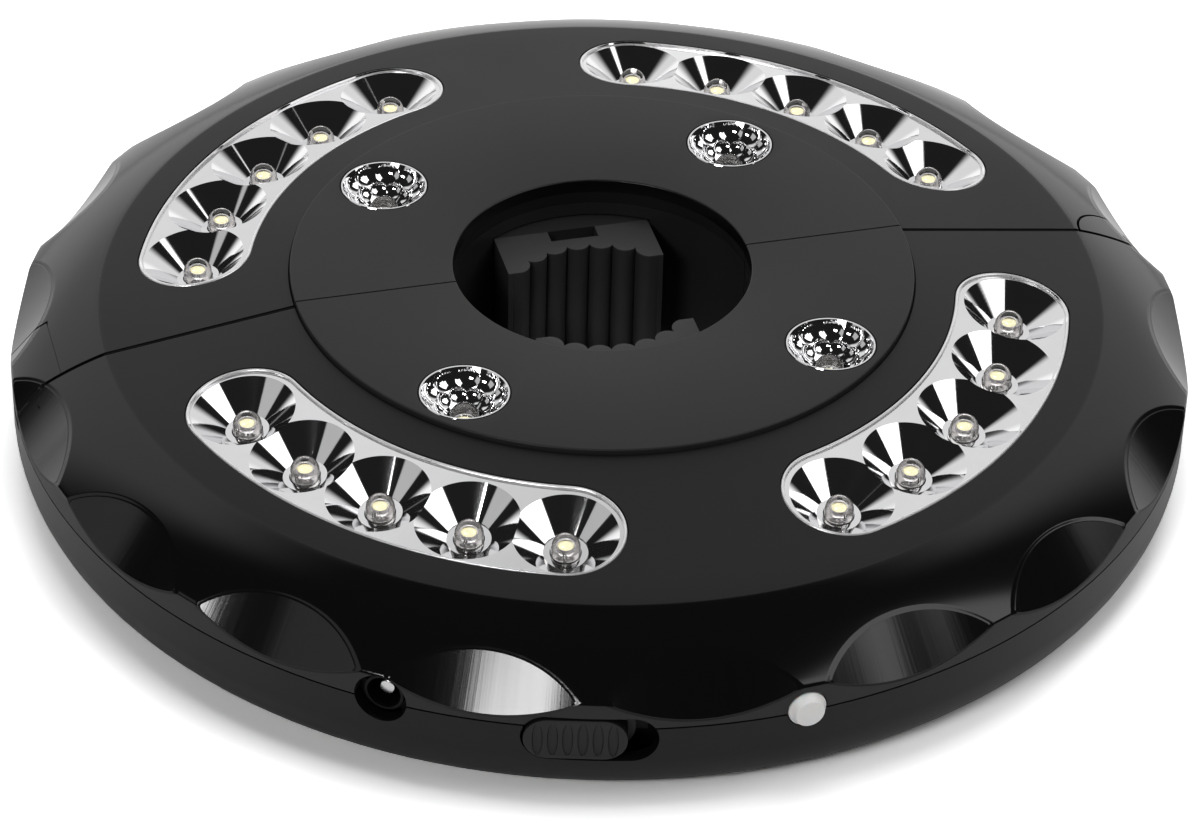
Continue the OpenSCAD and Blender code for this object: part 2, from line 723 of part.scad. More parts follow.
// ---- Jaws, drawn for the rear half with the pole's axis at the origin ----
module rib_bed() {
  // Outline of the rubber pad with its ribs
  bed = grip_r + 1.5;
  difference() {
    translate([-jaw_w / 2, 0]) square([jaw_w, pad_back]);
    circle(r = bed, $fn = 180);
    translate([-jaw_w, -1]) square([2 * jaw_w, grip_r * cos((rib_count - 1) / 2 * rib_pitch) + 1]);
  }
  intersection() {
    for (i = [0 : rib_count - 1]) rotate((i - (rib_count - 1) / 2) * rib_pitch)
      translate([0, grip_r + rib_r - 0.4]) circle(r = rib_r, $fn = 48);
    translate([-jaw_w / 2, 0]) square([jaw_w, pad_back]);
  }
}

module jaw_pad() {
  color(dark) difference() {
    translate([0, 0, jaw_foot + 0.6]) linear_extrude(jaw_top - jaw_foot - 0.6) rib_bed();
    translate([0, 0, -1]) cylinder(r = grip_r, h = body_h + 2, $fn = 180);
    // pocket in the top that the carrier's key shows in
    translate([-4.2, pad_back - 3, jaw_top - 2]) cube([8.4, 4, 3]);
    // dovetail room for the carrier's tongue
    translate([-5 - slip, pad_back - 2.4 - slip, jaw_foot]) cube([10 + 2 * slip, 4, jaw_top - jaw_foot - 4]);
  }
}

module jaw() {
  low = jaw_foot;
  color(black) difference() {
    union() {
      translate([-jaw_w / 2, pad_back, low]) cube([jaw_w, jaw_back - pad_back, jaw_top - low]);
      translate([-jaw_flange, flange_y, low]) cube([2 * jaw_flange, jaw_back - flange_y, jaw_top - low]);
      translate([-5, pad_back - 2.4, low + 0.8]) cube([10, 3, jaw_top - low - 5.2]);
    }
    // weight-saving pockets from above
    for (side = [-1, 1]) translate([side * spring_x - 4.5, hole_r + 4, jaw_top - 9]) cube([9, 5, 10]);
    // seats for the springs
    for (x = [-spring_x, spring_x]) translate([x, jaw_back + 1, spring_z]) rotate([90, 0, 0])
      cylinder(r = spring_r + 0.3, h = 3, $fn = 48);
  }
}

// One helical spring along +Y, swept as rings of points normal to its path
module jaw_spring() {
  sides = 6;
  per_turn = 10;
  steps = spring_turns * per_turn;
  r = spring_r - spring_wire / 2;
  y0 = jaw_back - 2 + spring_wire / 2 + 0.05;
  y1 = spring_end - spring_wire / 2 - 0.05;
  pts = [for (s = [0 : steps]) for (k = [0 : sides - 1])
    let (a = s * 360 / per_turn, b = k * 360 / sides,
         rr = r + spring_wire / 2 * cos(b))
      [rr * cos(a), y0 + (y1 - y0) * s / steps + spring_wire / 2 * sin(b), rr * sin(a)]];
  tube = [for (s = [0 : steps - 1]) for (k = [0 : sides - 1])
    let (p = s * sides + k, q = s * sides + (k + 1) % sides)
      each [[p, q, p + sides], [q, q + sides, p + sides]]];
  ends = [[for (k = [sides - 1 : -1 : 0]) k], [for (k = [0 : sides - 1]) steps * sides + k]];
  polyhedron(points = pts, faces = concat(tube, ends));
}

module jaw_springs() {
  color(steel) for (x = [-spring_x, spring_x]) translate([x, 0, spring_z]) jaw_spring();
}

// ---- Controls ----
module control_board() {
  color(board_green) difference() {
    translate([0, 0, board2_z]) rotate([0, 0, -131]) rotate_extrude(angle = 51, $fn = 360)
      translate([rim_in - 23.6, 0]) square([20, board_t]);
    // clear of the cross wall behind the springs
    translate([-channel_in - channel_t - 1, -spring_end - 3, 0])
      cube([2 * (channel_in + channel_t + 1), spring_end, body_h]);
  }
}

module slide_switch() {
  color(steel) on_rim(switch_turn, 0) difference() {
    translate([rim_in - 11.1, -9, part_z]) cube([8, 18, 5]);
    translate([rim_in - 4.6, -5, part_z + 1]) cube([4, 10, 3]);
  }
}

slider_at = -(slot_l - slider_l) / 2 + 0.45;
module switch_slider() {
  color(dark) on_rim(switch_turn, switch_z) translate([0, slider_at, 0]) difference() {
    union() {
      translate([rim_in - 1.5, 0, 0]) pill(slider_l, slot_h - 0.8, wall + 1.6);
      translate([rim_in - 2.5, 0, 0]) pill(slider_l + 2.4, slot_h + 1.6, 1.2);
      translate([rim_in - 4.4, -1.2, -0.4]) cube([3, 2.4, 1.4]);
    }
    // grip grooves
    for (i = [-3 : 3]) translate([body_r - 0.1, i * 1.9, 0])
      cylinder(r = 0.45, h = 20, center = true, $fn = 16);
  }
}

module dc_socket() {
  color([0.1, 0.1, 0.1]) on_rim(jack_turn, 0) difference() {
    union() {
      translate([rim_in - 15.6, -4.5, part_z]) cube([11.4, 9, port_z + 4.2 - part_z]);
      translate([rim_in - 7.6, 0, port_z]) rotate([0, 90, 0]) cylinder(r = jack_r - slip, h = 8.4, $fn = 48);
    }
    translate([rim_in - 10.6, 0, port_z]) rotate([0, 90, 0]) cylinder(r = jack_r - 0.6, h = 14, $fn = 48);
  }
}

module dc_socket_pin() {
  color(steel) on_rim(jack_turn, port_z) {
    translate([rim_in - 10.6, 0, 0]) rotate([0, 90, 0]) cylinder(r = 1, h = 9.6, $fn = 32);
    translate([rim_in - 1, 0, 0]) sphere(r = 1, $fn = 32);
  }
}

module tact_switch() {
  color(steel) on_rim(button_turn, 0) {
    translate([rim_in - 13.6, -3, part_z]) cube([5, 6, port_z + 3 - part_z]);
    translate([rim_in - 8.6 - eps, 0, port_z]) rotate([0, 90, 0])
      cylinder(r = 1.2, h = 3.2 - button_travel, $fn = 32);
  }
}

module mode_button() {
  color([0.8, 0.8, 0.8]) on_rim(button_turn, port_z) {
    translate([rim_in - 4.6, 0, 0]) rotate([0, 90, 0]) cylinder(r = button_r, h = wall + 6.1, $fn = 64);
    translate([rim_in - 5, 0, 0]) rotate([0, 90, 0]) cylinder(r = button_r + 1, h = 1.4, $fn = 64);
  }
}

// ---- Latch ----
catch_x = rim_in - 2.2;      // inner face of the catch rib, from the centre
catch_y = wall + 1;          // near face of the catch rib, from the split
catch_t = 2;
arm_z = seam_h + 2;
arm_h = 2.8;
arm_t = 2.2;
hook = 0.7;                  // how far the hook reaches behind the catch rib

module hook_window() {
  // Opening in the front split wall that the latch's arm passes through
  translate([-catch_x - 1.4, -wall - 1, seam_h + 1]) cube([arm_t + 4, wall + 2, arm_h + 2]);
  translate([-catch_x - hook - gap, -catch_y - catch_t - 3, arm_z - gap])
    cube([arm_t + hook + 2, 3, arm_h + 2 * gap]);
}

module catch_rib() {
  intersection() {
    turned() cover_outline();
    translate([-rim_in - 0.5, -catch_y - catch_t, seam_h + seam_gap / 2])
      cube([rim_in + 0.5 - catch_x, catch_t, 5.4]);
  }
}

module latch_tongue() {
  arm_y = catch_y + catch_t + gap;
  color(black) {
    intersection() {
      difference() {
        turned() cover_outline();
        turned() cover_hollow();
        scallops();
      }
      translate([-body_r - 1, split_gap / 2, tongue_low])
        cube([body_r + 1 - tongue_x, tongue_w, body_h]);
    }
    translate([-rim_in - 0.3, 3, arm_z]) cube([rim_in + 0.3 - catch_x + gap + arm_t, 5, arm_h]);
    translate([-catch_x + gap, -arm_y - 2, arm_z]) cube([arm_t, arm_y + 7, arm_h]);
    translate([-catch_x - hook, -arm_y - 2, arm_z]) cube([hook + gap + arm_t, 2, arm_h]);
  }
}

module front_jaw_place() { rotate([0, 0, 180]) children(); }

// ---- Nodes ----
module front_base() { base(false); }
module rear_base() { base(true); }
module front_cover() { cover(false); }
module rear_cover() { cover(true); }

front_base();
front_cover();
centre_plate(false);  // front_centre_plate
battery_lid();  // front_battery_lid
lamp_board(false);  // front_lamp_board
rotate([0, 0, -135]) reflector();  // front_left_reflector
rotate([0, 0, -45]) reflector();  // front_right_reflector
tray_lamps(-135);  // front_left_lamps
tray_lamps(-45);  // front_right_lamps
spots(false) spot_reflector();  // front_spot_reflectors
spots(false) spot_lamp();  // front_spot_lamps
cells();  // front_cells
cell_contacts();  // front_cell_contacts
screws(false);  // front_screws
lid_screw();  // front_lid_screw
hinge_pin();
control_board();
slide_switch();
switch_slider();
dc_socket();
dc_socket_pin();
tact_switch();
mode_button();
front_jaw_place() jaw();  // front_jaw
front_jaw_place() jaw_pad();  // front_jaw_pad
front_jaw_place() jaw_springs();  // front_jaw_springs
rear_base();
rear_cover();
centre_plate(true);  // rear_centre_plate
rotate([0, 0, 180]) battery_lid();  // rear_battery_lid
lamp_board(true);  // rear_lamp_board
rotate([0, 0, 135]) reflector();  // rear_left_reflector
rotate([0, 0, 45]) reflector();  // rear_right_reflector
tray_lamps(135);  // rear_left_lamps
tray_lamps(45);  // rear_right_lamps
spots(true) spot_reflector();  // rear_spot_reflectors
spots(true) spot_lamp();  // rear_spot_lamps
rotate([0, 0, 180]) cells();  // rear_cells
rotate([0, 0, 180]) cell_contacts();  // rear_cell_contacts
screws(true);  // rear_screws
rotate([0, 0, 180]) lid_screw();  // rear_lid_screw
latch_tongue();
jaw();  // rear_jaw
jaw_pad();  // rear_jaw_pad
jaw_springs();  // rear_jaw_springs
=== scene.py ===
"""Looks of the clip-on umbrella light: outer shells, trays, lamps, controls, finishes, studio."""

import json
from math import asin, atan2, cos, degrees, hypot, pi, radians, sin, sqrt, tan

import bmesh
import bpy
from mathutils import Matrix, Vector

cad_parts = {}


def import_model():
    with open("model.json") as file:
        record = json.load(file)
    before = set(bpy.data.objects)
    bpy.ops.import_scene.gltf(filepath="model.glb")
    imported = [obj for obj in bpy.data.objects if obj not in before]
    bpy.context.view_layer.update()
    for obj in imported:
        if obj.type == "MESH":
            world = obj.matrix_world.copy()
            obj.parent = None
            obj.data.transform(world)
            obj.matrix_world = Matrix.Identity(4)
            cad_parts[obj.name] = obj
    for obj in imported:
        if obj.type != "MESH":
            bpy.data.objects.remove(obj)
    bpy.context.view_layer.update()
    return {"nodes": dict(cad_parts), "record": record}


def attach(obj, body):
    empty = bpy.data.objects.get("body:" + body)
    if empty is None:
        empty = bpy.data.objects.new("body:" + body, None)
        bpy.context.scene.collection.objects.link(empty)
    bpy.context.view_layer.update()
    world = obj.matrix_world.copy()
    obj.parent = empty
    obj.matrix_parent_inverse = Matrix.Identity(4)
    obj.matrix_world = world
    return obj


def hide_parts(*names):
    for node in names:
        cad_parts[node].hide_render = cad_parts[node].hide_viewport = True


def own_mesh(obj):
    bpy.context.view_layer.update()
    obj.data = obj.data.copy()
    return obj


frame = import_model()
nodes = frame["nodes"]

# ---- Sizes in millimetres, the same as the part's ----
BODY_R = 100
BODY_H = 34
WALL = 2.4
SPLIT = 0.3
SEAM_GAP = 0.2
SLOPE = 8.4
FACE_R = 85
PLATE_R = 52.7
PLATE_T = 2.4
STEP = 0.95
HOLE_R = 25.2
SEAM_H = 0.462 * BODY_H
COVER_FOOT = SEAM_H + SEAM_GAP / 2
CORNER_H = 0.606 * BODY_H
RIM_IN = BODY_R - WALL
GAP = 0.3
SLIP = 0.15
LEDGE = BODY_H - PLATE_T
LEDGE_LOW = LEDGE - WALL + 0.3
KNUCKLE_R = 7
HINGE_X = BODY_R - KNUCKLE_R
PORT_Z = SEAM_H + 0.5
SWITCH_Z = SEAM_H - 2.1
SWITCH_TURN, JACK_TURN, BUTTON_TURN = -105.2, -124.2, -85.6
SLOT_L, SLOT_H = 21.5, 8.4
SWITCH_TRAVEL, SLIDER_FACE = 4.4, BODY_R + 0.1
SLIDER_L = SLOT_L - SWITCH_TRAVEL - 0.9
JACK_R = 3.4
BUTTON_R = 3
SCREW_TURNS = (-24, -58, -150, -168)
BOSS_RING, BOSS_R, BOSS_BORE = 87, 3.4, 1.55
SCALLOPS, SCALLOP_R, SCALLOP_DEPTH = 18, 81, 2.2
SCALLOP_TURN, SCALLOP_TILT = 5, 40.5
SCALLOP_PITCH = 360 // SCALLOPS
SHOULDER_TILT = 18
CORNER_ROUND = 1.2
TONGUE_IN, TONGUE_W = 7.6, 16
CATCH_X = 2.2 - RIM_IN
ARM_Z, ARM_H, ARM_T, HOOK = SEAM_H + 2, 2.8, 2.2, 0.7
LAMP_RING, TRAY_HALF = 69.4, 9.7
CUP_R, CUP_FLOOR_R = 0.886 * TRAY_HALF, 0.371 * TRAY_HALF
CUP_DEPTH, SKIN, LIP, SINK = 4.3, 1.2, 0.65, 0.5
LAMP_R = 2.4
LAMPS, PITCH = 5, 13
SPOT_AT, SPOT_R = 31, 7.5
JAW_W, JAW_TOP, GRIP_R = 27.4, 0.785 * BODY_H, 15

# ---- Sizes that only the scene has ----
SPLIT_STEP, SPLIT_STEP_HALF = 0.28, 0.42    # depth and half width of the step along the split
JACK_MOUTH_R = JACK_R + 0.95
SPOT_TOP = BODY_H - 2.5                     # top of a spot lamp's dome
DIMPLES = 9                                 # in one row of a spot reflector
FRONT_PAD_NEAR = 1.4                        # how much nearer the pole the front pad stands
BEYOND, ABOVE = 130, 60                     # outside the body, for cutting tools


def tilt_z(r):
    """Height of the lamp face at radius r."""
    return BODY_H - STEP - (r - PLATE_R) * tan(radians(SLOPE))


CUP_LEAN = CUP_DEPTH * sin(radians(SLOPE)) / 2
CUP_FLOOR_Z = tilt_z(LAMP_RING + CUP_LEAN) - SINK - CUP_DEPTH * cos(radians(SLOPE))
BOARD_Z = CUP_FLOOR_Z - SKIN - (CUP_FLOOR_R + 0.8) * sin(radians(SLOPE)) - 0.3
LAMP_TOP = CUP_FLOOR_Z + 3.4
LAMP_AT = LAMP_RING - CUP_LEAN

# The shoulder's arc leaves the face at its own slope and ends at the corner of the rim.
run, drop = BODY_R - FACE_R, tilt_z(FACE_R) - CORNER_H
ARC = hypot(run, drop) / (2 * sin(atan2(drop, run) - radians(SHOULDER_TILT)))
ARC_X = FACE_R - ARC * sin(radians(SHOULDER_TILT))
ARC_Z = tilt_z(FACE_R) - ARC * cos(radians(SHOULDER_TILT))

# Turns a flat form so that its plan lies across Y and Z and its depth points along X.
OUTWARD = Matrix(((0, 0, 1, 0), (1, 0, 0, 0), (0, 1, 0, 0), (0, 0, 0, 1)))


def shoulder_z(r, arc=ARC):
    """Height of the shoulder at radius r, or of an arc within it."""
    return ARC_Z + sqrt(arc * arc - (r - ARC_X) ** 2)


# ---- Forms: solids in millimetres that are joined and cut, on a bench of their own ----
BENCH = bpy.data.scenes.new("bench")


MARKS = ("plain", "tool", "lip")


class Form:
    """A closed solid in millimetres. Its faces keep the mark of the form that made them.

    A mark is the place in MARKS: a plain face, one left by a cutting tool, or a tray's lip.
    """

    def __init__(self, bm, mark=0):
        bmesh.ops.recalc_face_normals(bm, faces=bm.faces[:])
        for face in bm.faces:
            face.material_index = mark
        mesh = bpy.data.meshes.new("form")
        bm.to_mesh(mesh)
        bm.free()
        for _ in MARKS:
            mesh.materials.append(None)
        self.obj = bpy.data.objects.new("form", mesh)

    def worked(self, how, tools):
        for tool in tools:
            BENCH.collection.objects.link(self.obj)
            BENCH.collection.objects.link(tool.obj)
            work = self.obj.modifiers.new("work", "BOOLEAN")
            work.solver = "MANIFOLD"
            work.operation = how
            work.object = tool.obj
            with bpy.context.temp_override(scene=BENCH, view_layer=BENCH.view_layers[0]):
                graph = bpy.context.evaluated_depsgraph_get()
            mesh = bpy.data.meshes.new_from_object(self.obj.evaluated_get(graph))
            self.obj.modifiers.clear()
            self.obj.data = mesh
            BENCH.collection.objects.unlink(self.obj)
            BENCH.collection.objects.unlink(tool.obj)
        return self

    def cut(self, *tools):
        return self.worked("DIFFERENCE", tools)

    def add(self, *tools):
        return self.worked("UNION", tools)

    def keep(self, *tools):
        return self.worked("INTERSECT", tools)

    def moved(self, matrix):
        self.obj.data.transform(matrix)
        return self

    def copy(self):
        twin = object.__new__(Form)
        twin.obj = bpy.data.objects.new("form", self.obj.data.copy())
        return twin

    def bmesh(self):
        bm = bmesh.new()
        bm.from_mesh(self.obj.data)
        return bm


def turn(degrees_, axis="Z"):
    return Matrix.Rotation(radians(degrees_), 4, axis)


def shift(x=0, y=0, z=0):
    return Matrix.Translation((x, y, z))


def spun(profile, steps):
    """A bmesh turned round Z from a closed outline of (radius, height) points."""
    bm = bmesh.new()
    points = [bm.verts.new((r, 0, z)) for r, z in profile]
    edges = [bm.edges.new(pair) for pair in zip(points, points[1:] + points[:1])
             if pair[0].co.x > 1e-6 or pair[1].co.x > 1e-6]
    # One slice is turned first, then copied round, which is much quicker than one long spin.
    slices = max(n for n in range(1, 41) if steps % n == 0)
    bmesh.ops.spin(bm, geom=points + edges, axis=(0, 0, 1), angle=2 * pi / slices,
                   steps=steps // slices)
    bmesh.ops.spin(bm, geom=bm.verts[:] + bm.edges[:] + bm.faces[:], axis=(0, 0, 1),
                   angle=2 * pi * (slices - 1) / slices, steps=slices - 1, use_duplicate=True)
    bmesh.ops.remove_doubles(bm, verts=bm.verts[:], dist=5e-4)
    return bm


def lathe(profile, steps=720):
    return Form(spun(profile, steps))


def rod(r, low, high, sides=96, mark=0, r2=None):
    bm = bmesh.new()
    bmesh.ops.create_cone(bm, cap_ends=True, segments=sides, radius1=r,
                          radius2=r if r2 is None else r2, depth=high - low,
                          matrix=shift(z=(low + high) / 2))
    return Form(bm, mark)


def block(low, high):
    bm = bmesh.new()
    bmesh.ops.create_cube(bm, size=1)
    bmesh.ops.scale(bm, verts=bm.verts[:], vec=[b - a for a, b in zip(low, high)])
    bmesh.ops.translate(bm, verts=bm.verts[:], vec=[(a + b) / 2 for a, b in zip(low, high)])
    return Form(bm)


def prism(outline, low, high):
    """A flat outline of (x, y) points raised from one height to another."""
    bm = bmesh.new()
    foot = bm.faces.new([bm.verts.new((x, y, low)) for x, y in outline])
    top = bmesh.ops.extrude_face_region(bm, geom=[foot])["geom"]
    bmesh.ops.translate(bm, verts=[v for v in top if isinstance(v, bmesh.types.BMVert)],
                        vec=(0, 0, high - low))
    return Form(bm)


def arc(x, y, r, start, end, steps):
    """Points along an arc about (x, y), from one angle to another in degrees."""
    return [(x + r * cos(radians(start + (end - start) * i / steps)),
             y + r * sin(radians(start + (end - start) * i / steps))) for i in range(steps + 1)]


def pill(length, height, depth, at):
    """A slot shape across Y and Z that points outwards along X, from at."""
    half = (length - height) / 2
    outline = arc(half, 0, height / 2, -90, 90, 24) + arc(-half, 0, height / 2, 90, 270, 24)
    return prism(outline, 0, depth).moved(shift(x=at) @ OUTWARD)


def on_rim(form, angle, z):
    """Turns a form that points along X to its place on the rim."""
    return form.moved(turn(angle) @ shift(z=z))


def rim_rod(r, low, high, angle):
    """A rod through the rim at the height of the charging hole and the button."""
    return on_rim(rod(r, low, high).moved(turn(90, "Y")), angle, PORT_Z)


def absorb(whole, part):
    """Adds one bmesh to another, and frees it."""
    mesh = bpy.data.meshes.new("part")
    part.to_mesh(mesh)
    part.free()
    whole.from_mesh(mesh)
    bpy.data.meshes.remove(mesh)


def cleaned(bm):
    """Joins vertices that a boolean left together, and drops the faces that this flattens."""
    bmesh.ops.remove_doubles(bm, verts=bm.verts[:], dist=2e-4)
    bmesh.ops.dissolve_degenerate(bm, edges=bm.edges[:], dist=1e-4)


def finished(form, name, body, finishes, replaces=(), sharp=10, ease=()):
    """Sets a form down as a piece in metres, smooth but for its sharp edges, and rides it.

    Edges are sharp from that many degrees on. ease holds pairs of a test for the edges to
    round and the width of the rounding.
    """
    bm = form.bmesh() if isinstance(form, Form) else form
    cleaned(bm)
    for chosen, width in ease:
        bm.normal_update()
        bmesh.ops.bevel(bm, geom=[edge for edge in bm.edges if chosen(edge)], offset=width,
                        affect="EDGES", segments=3, profile=0.5, material=-1, clamp_overlap=True)
        cleaned(bm)
    bmesh.ops.delete(bm, geom=[edge for edge in bm.edges if not edge.link_faces], context="EDGES")
    for face in bm.faces:
        face.smooth = True
    for edge in bm.edges:
        marks = {face.material_index for face in edge.link_faces}
        edge.smooth = len(marks) == 1 and edge.calc_face_angle(0) < radians(sharp)
    bmesh.ops.scale(bm, verts=bm.verts[:], vec=(0.001, 0.001, 0.001))
    mesh = bpy.data.meshes.new(name)
    for finish in finishes:
        mesh.materials.append(finish)
    bm.to_mesh(mesh)
    bm.free()
    piece = bpy.data.objects.new(name, mesh)
    bpy.context.scene.collection.objects.link(piece)
    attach(piece, body)
    if replaces:
        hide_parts(*replaces)


# ---- Finishes ----
class Field:
    """A socket that Python's signs work on; a sign adds its Math node."""

    def __init__(self, tree, socket):
        self.tree = tree
        self.socket = socket

    def __add__(self, other):
        return self.tree.maths("ADD", self, other)

    def __sub__(self, other):
        return self.tree.maths("SUBTRACT", self, other)

    def __rsub__(self, other):
        return self.tree.maths("SUBTRACT", other, self)

    def __mul__(self, other):
        return self.tree.maths("MULTIPLY", self, other)

    def __pow__(self, other):
        return self.tree.maths("POWER", self, other)

    __radd__ = __add__
    __rmul__ = __mul__

    def rise(self, start, end, low=0.0, high=1.0):
        """Goes smoothly from low to high as the field goes from start to end."""
        return self.tree.node("ShaderNodeMapRange", {"interpolation_type": "SMOOTHSTEP"},
                              (self, start, end, low, high))


class Tree:
    """The nodes of one finish, or of the world."""

    def __init__(self, owner):
        owner.use_nodes = True
        self.tree = owner.node_tree

    def node(self, kind, settings=(), inputs=(), output=0):
        made = self.tree.nodes.new(kind)
        for key, value in dict(settings).items():
            setattr(made, key, value)
        for key, value in (inputs.items() if isinstance(inputs, dict) else enumerate(inputs)):
            self.feed(made.inputs[key], value)
        return Field(self, made.outputs[output]) if made.outputs else None

    def feed(self, socket, value):
        if isinstance(value, Field):
            self.tree.links.new(value.socket, socket)
        else:
            socket.default_value = value

    def maths(self, operation, *values):
        return self.node("ShaderNodeMath", {"operation": operation}, values)

    def blend(self, share, first, second):
        """Mixes two colours."""
        return self.node("ShaderNodeMix", {"data_type": "RGBA"}, {0: share, 6: first, 7: second}, 2)

    def place(self):
        """Object coordinates."""
        return self.node("ShaderNodeTexCoord", output=3)

    def split(self, vector):
        made = self.node("ShaderNodeSeparateXYZ", inputs=(vector,))
        outputs = made.socket.node.outputs
        return [Field(self, outputs[i]) for i in range(3)]

    def stretched(self, vector, scale):
        return self.node("ShaderNodeMapping", inputs={"Vector": vector, "Scale": scale})

    def joined(self, x, y, z):
        return self.node("ShaderNodeCombineXYZ", inputs=(x, y, z))

    def noise(self, vector, scale, detail=2.0, rough=0.5):
        return self.node("ShaderNodeTexNoise", inputs={
            "Vector": vector, "Scale": scale, "Detail": detail, "Roughness": rough})


def shade(*values):
    """A colour of three numbers, or a grey of one, with its alpha."""
    return (values * 3 if len(values) == 1 else values) + (1,)


class Finish(Tree):
    """A material whose constants are set on its shader and whose fields feed it."""

    def __init__(self, name, **constants):
        self.material = bpy.data.materials.new(name)
        super().__init__(self.material)
        self.shader = self.tree.nodes["Principled BSDF"]
        for key, value in constants.items():
            self.shader.inputs[key.replace("_", " ")].default_value = value

    def paint(self, **fields):
        for key, value in fields.items():
            self.feed(self.shader.inputs[key.replace("_", " ")], value)
        return self.material

    def bumped(self, height, strength, distance):
        """Feeds a height field to the shader as a bump that is distance metres high at 1."""
        return self.paint(Normal=self.node("ShaderNodeBump", inputs={
            "Height": height, "Strength": strength, "Distance": distance}))

    def moulded(self):
        """The slow cloud and the fine grain of moulded plastic."""
        return self.noise(self.place(), 45, 3), self.noise(self.place(), 2600, 2, 0.6)


def around(tree):
    """Radius and height of a point in millimetres, and its turn about the pole in radians."""
    x, y, z = tree.split(tree.place())
    return ((x * x + y * y) ** 0.5) * 1000, z * 1000, tree.maths("ARCTAN2", y, x)


def from_scallop(f, r, z, angle):
    """Distance in millimetres from the nearest scallop's surface.

    All sectors are folded on to one, where the scallop is a cylinder that leans outwards.
    """
    half, lean = SCALLOP_PITCH / 2, radians(SCALLOP_TILT)
    turned = angle * degrees(1) + (half - SCALLOP_TURN)
    fold = f.maths("FLOORED_MODULO", turned, SCALLOP_PITCH) - half
    out = r * f.maths("COSINE", fold * radians(1)) - (BODY_R - SCALLOP_DEPTH * cos(lean))
    aside = r * f.maths("SINE", fold * radians(1))
    up = z - (CORNER_H - SCALLOP_DEPTH * sin(lean))
    deep = out * cos(lean) + up * sin(lean) - SCALLOP_R
    return (deep * deep + aside * aside) ** 0.5 - SCALLOP_R


# Strength of the grain's bump on moulded plastic, and its height in metres.
PLASTIC_GRAIN = (0.12, 0.00008)


def moulded_shell():
    """Cover: satin lamp face, polished shoulder, satin upright rim, soft edges at the scallops."""
    f = Finish("moulded_shell", IOR=1.46)
    r, z, angle = around(f)
    soft = from_scallop(f, r, z, angle).rise(0, 0.36)
    face = 1 - r.rise(84.4, 85.6)
    rim = 1 - z.rise(19.9, 20.7)
    satin = (face + rim).rise(0, 1)
    cloud, grain = f.moulded()
    f.paint(Roughness=0.12 + satin * (0.38 + cloud * 0.06) + grain * 0.03 * satin)
    f.paint(Base_Color=f.blend(satin * (0.75 + cloud * 0.5), shade(0.0035, 0.0035, 0.0036),
                               shade(0.0055, 0.0055, 0.0057)))
    return f.bumped(soft + grain * satin * 0.04, 1.0, 0.00022)


def polished_scallop():
    """Scallop: polished, with the fine upright streaks of the tool that cut the mould."""
    f = Finish("polished_scallop", IOR=1.5)
    r, z, angle = around(f)
    streaks = f.noise(f.joined(angle * 130, z * 0.02, 0), 1.0, 3, 0.7)
    f.paint(Roughness=0.09 + streaks * 0.07)
    f.paint(Base_Color=f.blend(streaks, shade(0.0025), shade(0.0045)))
    return f.bumped(streaks, 0.06, 0.00015)


def satin_black(name, low, high, spec=0.5):
    """Black moulded plastic with a fine grain."""
    f = Finish(name, IOR=1.5, Specular_IOR_Level=spec)
    cloud, grain = f.moulded()
    f.paint(Base_Color=f.blend(cloud, shade(low), shade(high)))
    f.paint(Roughness=0.42 + cloud * 0.06 + grain * 0.03)
    return f.bumped(grain, *PLASTIC_GRAIN)


def housing_base():
    """Base shells: satin black, and greyer towards the pole opening."""
    f = Finish("satin_base", IOR=1.5, Specular_IOR_Level=0.24)
    r, _, _ = around(f)
    inside = 1 - r.rise(HOLE_R + 1.8, HOLE_R + 5.8)
    cloud, grain = f.moulded()
    f.paint(Base_Color=f.blend(inside * 0.85 + cloud * 0.12, shade(0.004), shade(0.020)))
    f.paint(Roughness=0.33 + cloud * 0.06 + grain * 0.03)
    return f.bumped(grain, *PLASTIC_GRAIN)


def satin_plate():
    """Centre plate: satin on top, plain and dark down in the opening."""
    f = Finish("satin_plate", IOR=1.5, Specular_IOR_Level=0.42)
    r, _, _ = around(f)
    top = r.rise(HOLE_R + 0.05, HOLE_R + 0.3)
    cloud, grain = f.moulded()
    f.paint(Base_Color=f.blend(top * (0.75 + cloud * 0.5), shade(0.002), shade(0.013)))
    f.paint(Roughness=0.28 + top * 0.19 + cloud * 0.06 + grain * 0.03)
    return f.bumped(grain, *PLASTIC_GRAIN)


def metal(name, colour, rough, scale, bump, wear):
    """Bright metal, a little uneven: wear is how much rougher its dull places are."""
    f = Finish(name, Metallic=1.0)
    cloud = f.noise(f.place(), scale, 3)
    fine = f.noise(f.place(), scale * 12, 2)
    f.paint(Base_Color=f.blend(cloud, shade(*(c * 0.92 for c in colour)), shade(*colour)))
    f.paint(Roughness=rough + cloud * wear)
    return f.bumped(fine, bump, 0.00005)


def clear_epoxy():
    """Water-clear case of a lamp."""
    f = Finish("clear_epoxy", IOR=1.52, Transmission_Weight=0.98)
    cloud = f.noise(f.place(), 700, 2)
    f.paint(Base_Color=f.blend(cloud, shade(0.97, 0.93, 0.90), shade(1.0, 0.98, 0.96)))
    return f.paint(Roughness=0.01 + cloud * 0.03)


def phosphor():
    """Pale yellow fill of a lamp's chip, with a faint painted glow."""
    f = Finish("phosphor", Emission_Strength=0.5)
    grain = f.noise(f.place(), 9000, 3)
    colour = f.blend(grain, shade(0.95, 0.88, 0.50), shade(1.0, 0.98, 0.74))
    # The emission is a painted glow.
    f.paint(Base_Color=colour, Emission_Color=colour, Roughness=0.55 + grain * 0.2)
    return f.bumped(grain, 0.3, 0.00005)


